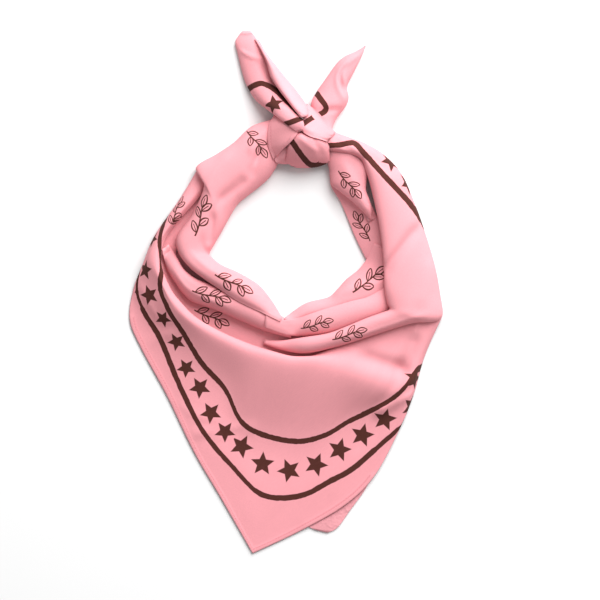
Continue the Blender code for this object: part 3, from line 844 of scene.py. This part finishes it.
class Paint:
    """One material and its nodes."""

    def __init__(self, name):
        self.material = bpy.data.materials.new(name)
        self.material.use_nodes = True
        self.tree = self.material.node_tree
        self.tree.nodes.clear()

    def node(self, kind, settings=None, sockets=None):
        """Adds a node: its settings first, then the values or links of its sockets."""
        made = self.tree.nodes.new(kind)
        for name, value in (settings or {}).items():
            setattr(made, name, value)
        for name, value in (sockets or {}).items():
            source = value.socket if isinstance(value, Value) else value
            if isinstance(source, bpy.types.NodeSocket):
                self.tree.links.new(source, made.inputs[name])
            else:
                made.inputs[name].default_value = source
        return made

    def flat(self, label):
        """The two coordinates of a UV map, in millimetres."""
        place = self.node("ShaderNodeUVMap", {"uv_map": label})
        parts = self.node("ShaderNodeSeparateXYZ", None, {0: place.outputs[0]})
        return Value(self, parts.outputs[0]), Value(self, parts.outputs[1])

    def noise(self, u, v, scale_u, scale_v, detail=2.0):
        """Noise stretched over the flat cloth; it averages a half."""
        place = self.node("ShaderNodeCombineXYZ", None, {0: u * scale_u, 1: v * scale_v})
        made = self.node("ShaderNodeTexNoise", {"noise_dimensions": "2D"},
                         {"Vector": place.outputs[0], "Scale": 1.0, "Detail": detail})
        return Value(self, made.outputs[0])

    def mix(self, amount, low, high):
        """One colour over another, by an amount from 0 to 1."""
        made = self.node("ShaderNodeMix", {"data_type": "RGBA"}, {0: amount, 6: low, 7: high})
        return made.outputs[2]

    def scaled(self, color, amount):
        """A colour made darker or lighter."""
        made = self.node("ShaderNodeVectorMath", {"operation": "SCALE"}, {0: color, "Scale": amount})
        return made.outputs[0]

    def bump(self, height, distance, strength, normal=None):
        """Relief whose height is in units of distance, in metres."""
        links = {"Height": height, "Distance": distance, "Strength": strength}
        if normal is not None:
            links["Normal"] = normal
        return self.node("ShaderNodeBump", None, links).outputs[0]

    def finish(self, shader):
        """The material, with this shader on its surface."""
        self.node("ShaderNodeOutputMaterial", None, {"Surface": shader.outputs[0]})
        print("finish", self.material.name, "uses", len(self.tree.nodes), "nodes")
        return self.material


# %% [markdown]
# ## The print
#
# The border is two lines and a row of stars. The stars are the ordinary five-pointed kind, cut by
# folding the plane: in a tenth of a turn a star is one straight edge. The middle of the cloth has
# plain leaf sprigs in a thin brown line.

# %% Ink masks
STAR_NOTCH = 0.46  # how far out a star's notches lie, as a share of its radius
STAR_BLEED = 0.45  # how wide the soft edge of the ink is
LINE_BLEED = 0.35
MIDRIB_WIDTH = 0.6  # of the leaf's outline
MIDRIB_END = 0.72  # of the leaf's length


def star_ink(x, y):
    """1 inside a five-pointed star of the printed size."""
    tenth = math.pi / 5
    turn = y.math("ARCTAN2", x)
    radius = (x * x + y * y) ** 0.5
    folded = abs((turn + tenth) % (2 * tenth) - tenth)
    tip = STAR_RADIUS
    notch = STAR_RADIUS * STAR_NOTCH
    notch_x, notch_y = notch * math.cos(tenth), notch * math.sin(tenth)
    edge = math.hypot(notch_x - tip, notch_y)
    across = (radius * folded.sin()) * ((tip - notch_x) / edge)
    along = (radius * folded.cos() - tip) * (notch_y / edge)
    return (across + along).inside(STAR_BLEED)


def line_ink(distance, width):
    """1 within half a width of where the distance is zero."""
    return (abs(distance) - width / 2).inside(LINE_BLEED)


def leaf_ink(x, y, root, turn, length, width):
    """The outline and midrib of a leaf that grows from a root on the x axis, at an angle to it."""
    c, s = math.cos(math.radians(turn)), math.sin(math.radians(turn))
    along = ((x - root) * c + y * s) / length
    across = y * c - (x - root) * s
    belly = along * (1.0 - along) * (2 * width)
    outline = line_ink(abs(across) - belly, SPRIG_LINE)
    midrib = line_ink(across, SPRIG_LINE * MIDRIB_WIDTH) * (along < MIDRIB_END)
    return outline.most(midrib) * (along > 0.0) * (along < 1.0)


# %% The sprig
SPRIG_LINE = 1.2
STEM_FROM, STEM_TO = -16.0, 8.0
STEM_BEND = 2.0
STEM_WAVE = 0.12  # radians for each millimetre
SIDE_LEAVES = ((-13.0, 1), (-7.0, -1), (-1.0, 1), (4.5, -1))  # root on the stem, side
LEAF_TURN, LEAF_LENGTH, LEAF_WIDTH = 40, 10.5, 4.6
END_ROOT, END_LENGTH, END_WIDTH = 7.0, 11.0, 5.0


def sprig_ink(x, y):
    """A bent stem with leaves on either side in turn and one at its end."""
    bent = y - ((x * STEM_WAVE).sin() * STEM_BEND)
    ink = line_ink(bent, SPRIG_LINE) * (x > STEM_FROM) * (x < STEM_TO)
    for root, side in SIDE_LEAVES:
        ink = ink.most(leaf_ink(x, bent * side, root, LEAF_TURN, LEAF_LENGTH, LEAF_WIDTH))
    return ink.most(leaf_ink(x, bent, END_ROOT, 0, END_LENGTH, END_WIDTH))


# %% [markdown]
# ## Cotton
#
# Light plain-woven cotton: matt, a little fuzzy, with slubs where a thread runs thick. The weave is
# a fine relief of two crossed waves. Ink sinks into the thread, so the weave still shows in it and
# it is as matt as the cloth. Sheen is the same everywhere, so it sits on the shader's own socket.

# %% Colours, as light reflected from the cloth
CLOTH_PINK = (0.77, 0.312, 0.345, 1.0)
REVERSE_PINK = (0.77, 0.328, 0.362, 1.0)
INK_BROWN = (0.058, 0.013, 0.007, 1.0)
# Painted shade for the hem: the deep pink that darkens its stitch dents and the shadow where its roll
# ends.
HEM_PAINTED_SHADE = (0.6, 0.14, 0.17, 1.0)


def cotton_shader(paint, color, relief, sheen_roughness):
    """Matt cotton with the least sheen."""
    return paint.node("ShaderNodeBsdfPrincipled", None, {
        "Base Color": color,
        "Roughness": 0.92,
        "Sheen Weight": 0.02,
        "Sheen Roughness": sheen_roughness,
        "Specular IOR Level": 0.18,
        "Normal": relief,
    })


# %% Thread, stitches, the hem's painted shadow and ink, each as a mask or a height
THREAD_PITCH = 0.62  # from one thread to the next
SLUB_LENGTHWISE, SLUB_CROSSWISE = 0.25, 1.9  # how often a slub changes along and across its thread
STITCH_LINE = 3.1  # from the edge to the row of stitches
STITCH_HALF = STITCH * 0.3
STITCH_BLEED = 0.3
SEWING_WIDTH = 0.7
HEM_SHADOW = 0.3  # from the end of the roll to the middle of its shadow
WANDER = 0.9  # how far a printed line strays


def thread(paint, u, v):
    """The weave, from 0 to 1, and the slubs of both threads."""
    across = (u * (math.tau / THREAD_PITCH)).sin()
    along = (v * (math.tau / THREAD_PITCH)).sin()
    weave = across * along * 0.5 + 0.5
    slub = (paint.noise(u, v, SLUB_LENGTHWISE, SLUB_CROSSWISE)
            + paint.noise(u, v, SLUB_CROSSWISE, SLUB_LENGTHWISE))
    return weave, slub


def hem_marks(paint):
    """The stitches of the hem, and the painted shadow where its roll ends."""
    u, v = paint.flat("hem")
    from_stitch = (u % STITCH) - STITCH / 2
    stitch = (abs(from_stitch) - STITCH_HALF).inside(STITCH_BLEED)
    stitch = stitch * line_ink(v - STITCH_LINE, SEWING_WIDTH)
    return stitch, line_ink(v - HEM_WIDTH - HEM_SHADOW, SEWING_WIDTH)


def print_ink(paint):
    """The two lines of the border, its stars and the sprigs."""
    u, v = paint.flat("border")
    wander = (paint.noise(u, v, 0.2, 0.2) - 0.5) * WANDER
    outer, inner = (line_ink(v + wander - line, LINE_WIDTH) for line in (OUTER_LINE, INNER_LINE))
    return outer.most(inner).most(star_ink(*paint.flat("star"))).most(sprig_ink(*paint.flat("sprig")))


# %% The two faces of the cotton
WEAVE_DEPTH = 0.00012  # in metres, as a Bump node asks
STITCH_DEPTH = 0.0003


def cotton(name, base, printed):
    """One face of the cloth: the printed one, or the plain one behind it."""
    paint = Paint(name)
    u, v = paint.flat("cloth")
    weave, slub = thread(paint, u, v)
    broad = paint.noise(u, v, 0.035, 0.035)
    grain = paint.noise(u, v, 0.8, 0.8, 4.0)
    # Random tone from slubs, broad noise and grain, which the cotton has; the weave term is painted shade,
    # a little darker in the weave's hollows.
    shade = 0.85 + slub * 0.05 + broad * 0.06 + weave * 0.02 + grain * 0.12
    color = paint.scaled(base[:3], shade)
    stitch, hem_roll_shadow = hem_marks(paint)
    if printed:
        worn = 1.01 - slub * 0.03
        color = paint.mix(print_ink(paint) * worn, color, INK_BROWN)
    # Painted shade: the stitch dents and the shadow at the end of the hem's roll are mixed towards a deep
    # pink.
    color = paint.mix((stitch * 0.35).most(hem_roll_shadow * 0.25), color, HEM_PAINTED_SHADE)
    relief = paint.bump(weave * 0.6 + slub, WEAVE_DEPTH, 0.55)
    relief = paint.bump(1.0 - stitch, STITCH_DEPTH, 0.7, relief)
    return paint.finish(cotton_shader(paint, color, relief, 0.6))


printed_cotton = cotton("printed_cotton", CLOTH_PINK, True)
reverse_cotton = cotton("cotton_inside", REVERSE_PINK, False)

# %% [markdown]
# ## One function for every stretch
#
# Each stretch goes through the same steps: cut it, crease it, lay it on the heap, hem what is an edge
# of the square, turn its folded edges under, and print it.


def declare(piece, node):
    """Attach the piece to the root and hide the solid stretch that it stands for."""
    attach(piece, "root")
    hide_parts(node)


# %% The hem
HEM_RISE = 0.4
HEM_EDGE = 0.35  # how much of the rise is there at the very edge
HEM_ROUND = 0.8  # how far in the roll reaches its full rise
HEM_FALL = 1.2  # how far the roll takes to end


HEMMED = {"start": 0, "left": 1}  # the side that may be hemmed, and the axis that leads in from it


def hem_rise(distance):
    """How much thicker the rolled hem is, at a distance from the edge."""
    inner = np.clip((HEM_WIDTH + HEM_ROUND - distance) / HEM_FALL, 0, 1)
    outer = np.clip(distance / HEM_ROUND, 0, 1)
    return HEM_RISE * inner * (HEM_EDGE + (1 - HEM_EDGE) * outer)


# %% Make a stretch
def carried_on(values, whole, before):
    """Values of the flat part, carried on at the same rate over the columns that turn under."""
    across = run_along(whole, 1)
    full = np.zeros((*whole.shape[:2], values.shape[2]))
    after = before + values.shape[1]
    full[:, before:after] = values
    left = (before, before + 1, range(before))
    right = (after - 1, after - 2, range(after, whole.shape[1]))
    for edge, inner, columns in (left, right):
        gap = np.abs(across[:, edge] - across[:, inner])[:, None]
        rate = np.clip((full[:, edge] - full[:, inner]) / np.maximum(gap, 1e-3), -1, 1)
        for k in columns:
            full[:, k] = full[:, edge] + rate * np.abs(across[:, k] - across[:, edge])[:, None]
    return full


def print_places(sheet, lines, ends_at, hem):
    """Each point's place in the printed border, and how far it lies from the hem. ends_at is how
    far along them the printed lines stop, and hem names the side that is hemmed, if one is."""
    nowhere = np.full((*sheet.shape[:2], 2), FAR)
    border = border_from_lines(sheet, lines) if lines else nowhere
    if ends_at is not None:
        border[border[:, :, 0] > RUN_ON + ends_at] = FAR
    return border, run_along(sheet, HEMMED[hem]) if hem else nowhere[:, :, 1]


def stretch(node, sheet, *, folds=(), wrinkles=(), tucks="lr", lines=(), ends_at=None,
            hem=None, places=None, stars=(), sprigs=()):
    """Crease, lay, hem and print one stretch of cotton. tucks says whether its left and right
    edges turn under, and places gives what print_places would otherwise work out."""
    sheet = laid(wrinkled(creased(sheet, folds), wrinkles))
    border, from_hem = places or print_places(sheet, lines, ends_at, hem)
    sheet[:, :, 2] += hem_rise(from_hem)
    hem_place = np.stack([run_along(sheet, 0), from_hem], axis=2)
    whole = with_tucks(sheet, "l" in tucks, "r" in tucks)
    heap.add(sheet)
    before = TUCK_COLUMNS if "l" in tucks else 0
    maps = {
        "cloth": np.stack([run_along(whole, 0), run_along(whole, 1)], axis=2),
        "border": carried_on(border, whole, before),
        "hem": carried_on(hem_place, whole, before),
    }
    mesh = cloth_mesh(node + "_cloth", whole, maps, {"star": stars, "sprig": sprigs})
    mesh.materials.append(printed_cotton)
    mesh.materials.append(reverse_cotton)
    piece = placed(node + "_cloth", mesh)
    wall = piece.modifiers.new("wall", "SOLIDIFY")
    wall.thickness = CLOTH * MM
    wall.offset = -1.0
    wall.material_offset = 1
    declare(piece, node)


# %% [markdown]
# ## Hidden layers
#
# Inside the folds the cloth goes back and forth out of sight. Those layers are one rounded heap with
# a flat underside. Where it peeps out at an edge it shows as stacked layers, so its sides carry the
# fine steps of folded cloth, with painted shade where one layer meets the next.

# %% Stacked edges of cloth
LAYER = 1.3  # from one layer to the next
LAYER_WANDER = 3.0  # how far the layers stray up and down
LAYER_DEPTH = 0.0006  # in metres, as a Bump node asks


def folded_edges(name, base):
    """Cotton seen at the edge of a stack: shallow steps, one for each layer, with painted shade where one
    layer meets the next.
    """
    paint = Paint(name)
    place = paint.node("ShaderNodeTexCoord")
    parts = paint.node("ShaderNodeSeparateXYZ", None, {0: place.outputs["Object"]})
    x, y, z = (Value(paint, parts.outputs[k]) * (1 / MM) for k in range(3))
    layer = abs((z + paint.noise(x, y, 0.08, 0.08) * LAYER_WANDER) % LAYER - LAYER / 2)
    cloud = paint.noise(x, y, 0.6, 0.6, 4.0)
    # Painted shade: darker towards each layer's edge, in the crease where one layer meets the next; the
    # cloud is random tone.
    color = paint.scaled(base, 0.9 + cloud * 0.12 - layer * 0.1)
    relief = paint.bump(layer + cloud * 0.3, LAYER_DEPTH, 0.8)
    return paint.finish(cotton_shader(paint, color, relief, 0.5))


stack_cotton = folded_edges("cotton_stack", REVERSE_PINK[:3])

# %% Rounded heaps of folded cloth
HEAP_ACROSS = 14
THINNEST_HEAP = 0.4


def rounded_heap(node, table):
    """A closed solid whose top goes through the table's sections and whose underside is flat."""
    sheet = two_edge_sheet(table, HEAP_ACROSS)
    sheet[:, :, 2] = np.maximum(sheet[:, :, 2], THINNEST_HEAP)
    heap.add(sheet)
    surface = grid_surface(sheet)
    pulled = bmesh.ops.extrude_face_region(surface, geom=surface.faces[:])
    for part in pulled["geom"]:
        if isinstance(part, bmesh.types.BMVert):
            part.co.z = TABLE
    bmesh.ops.recalc_face_normals(surface, faces=surface.faces)
    mesh = finished_mesh(node + "_folds", surface)
    mesh.shade_smooth()
    mesh.materials.append(stack_cotton)
    piece = placed(node + "_folds", mesh)
    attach(piece, "root")
    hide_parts(node)
    print(piece.name, "has", len(mesh.polygons), "faces")


rounded_heap("back_corner", BACK_CORNER)
rounded_heap("hidden_layers", HIDDEN_LAYERS)
rounded_heap("knot_heart", KNOT_HEART)

# %% [markdown]
# ## The valley and the bib
#
# The bib is the front of the folded triangle. Its sections run from the hem to the edge that goes
# under the pleats, and pass through the two printed lines. So each row also knows how far each of
# its points lies from the hem on the flat cloth. Up the sides the hem is turned under, and the cloth
# that shows begins further in.

# %% The valley
stretch(
    "left_valley", two_edge_sheet(LEFT_VALLEY, 20),
    sprigs=((-60, -20, -30, 0.9),),
)

# %% The bib, through its rails
# How far each rail of each section lies from the hem, on the flat cloth.
BIB_PRINT = (
    (75, 78, 82, 86, 90), (62, 64, 68, 72, 78), (46, 48, 53, 57, 62), (30, 31, 40, 48, 54),
    (12, 24, 54, 58, 62), (0, 24, 54, 60, 65), (0, 24, 54, 62, 69), (0, 24, 54, 71, 84),
    (0, 24, 54, 82, 97), (0, 24, 54, 97, 113), (0, 24, 54, 104, 121), (0, 24, 54, 104, 123),
    (0, 24, 54, 97, 126), (0, 24, 54, 85, 123), (23, 27, 54, 75, 119), (38, 41, 54, 69, 113),
    (60, 62, 66, 78, 100), (75, 77, 79, 84, 92),
)
RAIL_STEPS = 40  # from one rail to the next, when a section is measured
BIB_COLUMNS = 60
HEM_COLUMNS = 7
HEM_STEP = 0.7  # between columns over the hem's roll
HEM_SHARE = 0.2  # the most that they may take of a section
CLOSE = 0.5  # as near as a rail has to be to the print that it carries


def rail_sheet(table, prints, corner_row):
    """Rows of points through the rails, close together at the hem, with each point's place in the
    printed border and how far it lies from the hem."""
    sections = np.array(table, float)
    prints = np.array(prints, float)
    middle = (sections[:, 1] + sections[:, 2]) / 2
    last = len(table) - 1
    places = np.concatenate([even_places(middle, 0, corner_row)[:-1],
                             even_places(middle, corner_row, last)])
    spans = len(RAILS) - 1
    fine = np.linspace(0, spans, RAIL_STEPS * spans + 1)
    sheet, border, hem, along = [], [], [], 0.0
    before = None
    for place in places:
        rails = np.array([between(sections[:, k], place, corner_row if rail == "hem" else None)
                          for k, rail in enumerate(RAILS)])
        away = between(prints, place)
        curve = np.array([between(rails, t) for t in fine])
        run = np.concatenate([[0], np.cumsum(np.linalg.norm(np.diff(curve, axis=0), axis=1))])
        near = np.minimum(np.arange(HEM_COLUMNS) * HEM_STEP, run[-1] * HEM_SHARE)
        spots = np.concatenate([near, np.linspace(near[-1], run[-1], BIB_COLUMNS)[1:]])
        sheet.append([np.interp(spots, run, curve[:, k]) for k in range(3)])
        here = (rails[1] + rails[2]) / 2
        along += 0.0 if before is None else float(np.linalg.norm(here - before))
        before = here
        at_rails = run[::RAIL_STEPS]
        v = np.interp(spots, at_rails, away)
        if abs(away[1] - OUTER_LINE) < CLOSE and abs(away[2] - INNER_LINE) < CLOSE:
            from_outer, from_inner = spots - at_rails[1], at_rails[2] - spots
            v = np.where(from_outer < from_inner, OUTER_LINE + np.minimum(from_outer, HALF_GAP),
                         INNER_LINE - np.minimum(from_inner, HALF_GAP))
        border.append(np.stack([np.full_like(v, along), v], axis=1))
        hem.append(spots if away[0] < CLOSE else np.full_like(spots, FAR))
    return np.array(sheet).transpose(0, 2, 1), np.array(border), np.array(hem)


bib, bib_border, bib_hem = rail_sheet(BIB_FRONT, BIB_PRINT, BIB_POINT_ROW)
print("the bib has", bib.shape[:2], "points; its border runs", round(bib_border[-1, 0, 0]), "mm")

# %% Stars along the bib's border
# A star or sprig has its x, its y, which way it points in degrees, and its scale.
BIB_STARS = (
    (-99, 56.5, 20, 0.8), (-106.2, 41.6, 30, 0.8),
    (-112.4, 17.7, 8, 0.85), (-109, -2.5, 39, 0.86), (-98, -21.4, 66, 0.78), (-87.4, -39.8, 43, 0.8),
    (-79.8, -60.7, 49, 0.82), (-68.8, -76.4, 49, 0.92), (-60.1, -96.6, 48, 0.92), (-48.8, -111.6, 54, 0.9),
    (-35.5, -123.4, 62, 1), (-18.8, -137.4, 14, 1), (2.5, -142.7, 40, 1), (24, -138, 68, 1),
    (42.8, -126.1, 3, 1), (61, -114.4, 4, 1), (78.9, -101.5, 6, 1), (99.2, -90.4, 30, 1),
    (103.2, -69.6, 10, 1),
)
# A wrinkle has the points of its curve, its half width, its height and its drop.
BIB_WRINKLES = (
    (((-93, -84), (-78, -96), (-62, -101), (-46, -104)), 5, 1.2, 0.0),
    (((-72, -124), (-56, -112), (-40, -112), (-24, -106)), 4, -1.4, 0.0),
    (((-118, 10), (-111, -6), (-101, -24)), 4, 0.8, 0.0),
    (((112, -64), (96, -74), (82, -86), (70, -104)), 6, 1.8, 0.0),
    (((104, -30), (98, -52), (84, -66)), 8, -3.0, 0.0),
    (((60, -120), (44, -150), (34, -170)), 8, 0.8, 0.0),
    (((-30, -128), (-34, -160), (-30, -190)), 9, 0.8, 0.0),
)
stretch(
    "bib_front", bib,
    folds=BIB_FOLDS, wrinkles=BIB_WRINKLES, tucks="r", places=(bib_border, bib_hem),
    stars=BIB_STARS, sprigs=((-88, 64, 62, 0.8),),
)

# %% [markdown]
# ## Pleats round the opening
#
# The neck's cloth lies in long pleats. Each is laid on the one before, and both of its edges are
# folds, so both turn under.

# %% Pleats and the inside of the opening
stretch(
    "left_pleat", two_edge_sheet(LEFT_PLEAT, 20),
    wrinkles=((((-92, 22), (-80, 4), (-62, -6), (-40, -14)), 3, 1.2, 0.0),),
    sprigs=((-60, -3, -22, 0.95),),
)
stretch(
    "right_inner", two_edge_sheet(RIGHT_INNER, 18),
    sprigs=((61, 52, 112, 0.8),),
)
stretch(
    "right_pleat_inner", two_edge_sheet(RIGHT_PLEAT_INNER, 18),
    wrinkles=((((36, -5), (50, 2), (66, 6), (84, 12)), 4, 1.6, 1.0),),
    sprigs=((66, 9, 30, 1.0),),
)
stretch(
    "right_pleat_middle", two_edge_sheet(RIGHT_PLEAT_MIDDLE, 18),
    sprigs=((24, -26, 8, 0.8),),
)

# %% The left side of the neck
LEFT_BAND_WRINKLES = (
    (((-16, 104), (-34, 87), (-52, 74), (-59, 62), (-61, 44), (-62, 34)), 3.5, -0.8, 1.6),
    (((-8, 124), (-20, 112), (-26, 100)), 3, -1.6, 0.0),
    (((-14, 132), (-24, 120), (-30, 108)), 4, 1.6, 0.0),
    (((-40, 116), (-56, 96), (-64, 78), (-70, 60)), 6, 1.2, 0.0),
    (((-66, 50), (-66, 36), (-54, 26), (-38, 18)), 4, -1.4, 0.0),
    (((-78, 34), (-62, 20), (-44, 10), (-26, 0)), 4, 1.6, 0.0),
    (((-32, 14), (-22, 4), (-10, -12)), 3, -2.0, 0.0),
)
stretch(
    "left_band", two_edge_sheet(LEFT_BAND, 30),
    folds=LEFT_BAND_FOLDS, wrinkles=LEFT_BAND_WRINKLES,
    sprigs=((-24, 120, -60, 0.9), (-68, 60, 68, 1.0), (-42, 7, -32, 1.0)),
)

# %% The right side of the neck
stretch(
    "right_tongue", two_edge_sheet(RIGHT_TONGUE, 20),
    wrinkles=((((44, 108), (52, 92), (60, 76), (66, 62)), 5, 1.2, 1.5),),
    sprigs=((50, 86, -56, 0.85),),
)
RIGHT_BAND_STARS = ((83.2, 103.9, 58, 1), (96.8, 86.4, 20, 1))
RIGHT_BAND_LINE = (
    (30.4, 116.5), (43.2, 117.2), (54, 118.7), (60.8, 112), (75.2, 96), (88, 82.4), (97.6, 72),
    (105.6, 61.6), (113.5, 48.8),
)
RIGHT_BAND_WRINKLES = (
    (((114, 62), (100, 46), (86, 28), (70, 6)), 5, -1.0, 2.2),
    (((116, 30), (112, 4), (104, -14)), 8, 1.0, 0.0),
    (((58, 104), (64, 84), (68, 60)), 4, 1.0, 0.0),
    (((34, 126), (46, 116), (58, 108)), 4, -1.2, 0.0),
    (((120, -16), (98, -22), (74, -30), (44, -40)), 3, 1.0, 0.0),
)
stretch(
    "right_band", two_edge_sheet(RIGHT_BAND, 30),
    folds=RIGHT_BAND_FOLDS, wrinkles=RIGHT_BAND_WRINKLES,
    lines=((INNER_LINE, RIGHT_BAND_LINE),), stars=RIGHT_BAND_STARS,
    sprigs=((50, -34, 10, 0.85),),
)

# %% [markdown]
# ## The knot and its ends
#
# A square knot in cotton is three rounded turns, each tucked under the next. The ends beyond it
# carry the hem, because they are the two far corners of the square.

# %% Knot and ends
stretch(
    "tail_right", two_edge_sheet(TAIL_RIGHT, 20),
    lines=((OUTER_LINE, ((24, 159.2), (28.6, 152.6), (32, 147.4), (31, 144), (28, 142))),),
    wrinkles=(
        (((56, 191), (43, 178), (41, 166), (46, 154), (44, 146)), 2.4, 1.8, 0.0),
        (((60, 192), (47, 178), (46, 170), (50, 160)), 2.0, 1.5, 0.0),
        (((52, 184), (44, 174), (43.5, 164), (47.5, 153)), 1.8, -1.6, 0.0),
        (((24, 143), (34, 145), (46, 146)), 3, -2.0, 0.0),
    ),
)
stretch("knot_crease", two_edge_sheet(KNOT_CREASE, 10))
KNOT_LINE = ((27.2, 100.8), (19.2, 101.6), (13.6, 107.2), (8.8, 113.6), (4, 120.8))
stretch(
    "knot_lower_wrap", two_edge_sheet(KNOT_LOWER_WRAP, 22),
    lines=((INNER_LINE, KNOT_LINE),), stars=((3.2, 104.8, 60, 0.8),),
    wrinkles=(
        (((10, 124), (18, 116), (28, 110)), 2.5, 1.2, 0.0),
        (((22, 124), (25, 116), (30, 106)), 2.2, -1.4, 0.0),
        (((4, 116), (3, 110), (1, 104)), 2.2, 1.0, 0.0),
    ),
)
stretch(
    "knot_upper_wrap", two_edge_sheet(KNOT_UPPER_WRAP, 22),
    lines=((INNER_LINE, ((12.6, 132.6), (18.6, 137), (22.6, 139.6))),), ends_at=11.8,
    wrinkles=((((15, 148), (17, 142), (15, 138)), 1.6, -1.2, 0.0),
              (((12, 132), (22, 127), (32, 124)), 3, 1.2, 0.0)),
)
stretch(
    "knot_left_wrap", two_edge_sheet(KNOT_LEFT_WRAP, 20), hem="left",
)
stretch(
    "tail_left", two_edge_sheet(TAIL_LEFT, 22), hem="start",
    lines=(
        (OUTER_LINE, ((-29.9, 162.1), (-25.6, 164.8), (-20, 166.4), (-14.4, 164.8), (-8, 160.8),
                      (-1.6, 154.4))),
        (INNER_LINE, ((0.6, 133.6), (6, 135.4), (11.7, 137.6))),
    ),
    stars=((-9.8, 149.5, 32, 0.9),),
    wrinkles=(
        (((-39, 194.5), (-31, 189.5), (-24, 187), (-16, 186.4)), 1.8, 1.4, 0.0),
        (((-20, 186), (-14, 172), (-6, 160)), 5, -2.0, 0.0),
    ),
)
stretch(
    "tail_left_flap", two_edge_sheet(TAIL_LEFT_FLAP, 18), hem="left",
    wrinkles=((((-20, 196), (-12, 180), (-2, 164)), 3, 1.0, 0.0),),
)

# %% [markdown]
# ## Table, light and camera
#
# The photograph is taken from straight above, on white, in soft light from the upper right. A large
# area lamp gives the gentle shading that shows folds, and a white world fills the shadows.

# %% Table
TABLE_HALF = 3.0
floor = bmesh.new()
bmesh.ops.create_grid(floor, x_segments=2, y_segments=2, size=TABLE_HALF)
floor_mesh = finished_mesh("table_top", floor)
table_top = placed("table_top", floor_mesh)
white = Paint("white_table")
table_shader = white.node("ShaderNodeBsdfPrincipled", None, {
    "Base Color": (0.8, 0.8, 0.8, 1.0), "Roughness": 0.8,
})
floor_mesh.materials.append(white.finish(table_shader))

# %% Light
KEY_HEIGHT = math.radians(37)
KEY_WAY = (0.45, 0.89, 0)  # towards the lamp, over the table
KEY_DISTANCE = 2.0
KEY_WIDTH = 2.0
KEY_POWER = 85
WORLD_STRENGTH = 0.44
flat_way = Vector(KEY_WAY).normalized()
key_place = (flat_way * math.cos(KEY_HEIGHT) + Vector((0, 0, math.sin(KEY_HEIGHT)))) * KEY_DISTANCE
key = bpy.data.lights.new("key", "AREA")
key.shape = "DISK"
key.size = KEY_WIDTH
key.energy = KEY_POWER
lamp = placed("key", key)
lamp.location = key_place
lamp.rotation_euler = (-key_place).to_track_quat("-Z", "Y").to_euler()
world = bpy.data.worlds.new("studio")
world.use_nodes = True
background = world.node_tree.nodes["Background"]
background.inputs["Color"].default_value = (1.0, 1.0, 1.0, 1.0)
background.inputs["Strength"].default_value = WORLD_STRENGTH
bpy.context.scene.world = world
bpy.context.scene.view_settings.view_transform = "Standard"

# %% Camera
VIEW_WIDTH = 0.48
VIEW_MIDDLE = (0.0112, -0.0064)
CAMERA_HEIGHT = 4.0
SENSOR = 36.0
camera = bpy.data.cameras.new("camera")
camera.sensor_width = SENSOR
camera.lens = SENSOR * CAMERA_HEIGHT / VIEW_WIDTH
camera.clip_end = 50.0
viewpoint = placed("camera", camera)
viewpoint.location = (*VIEW_MIDDLE, CAMERA_HEIGHT)
bpy.context.scene.camera = viewpoint

# %% Update the scene
bpy.context.view_layer.update()
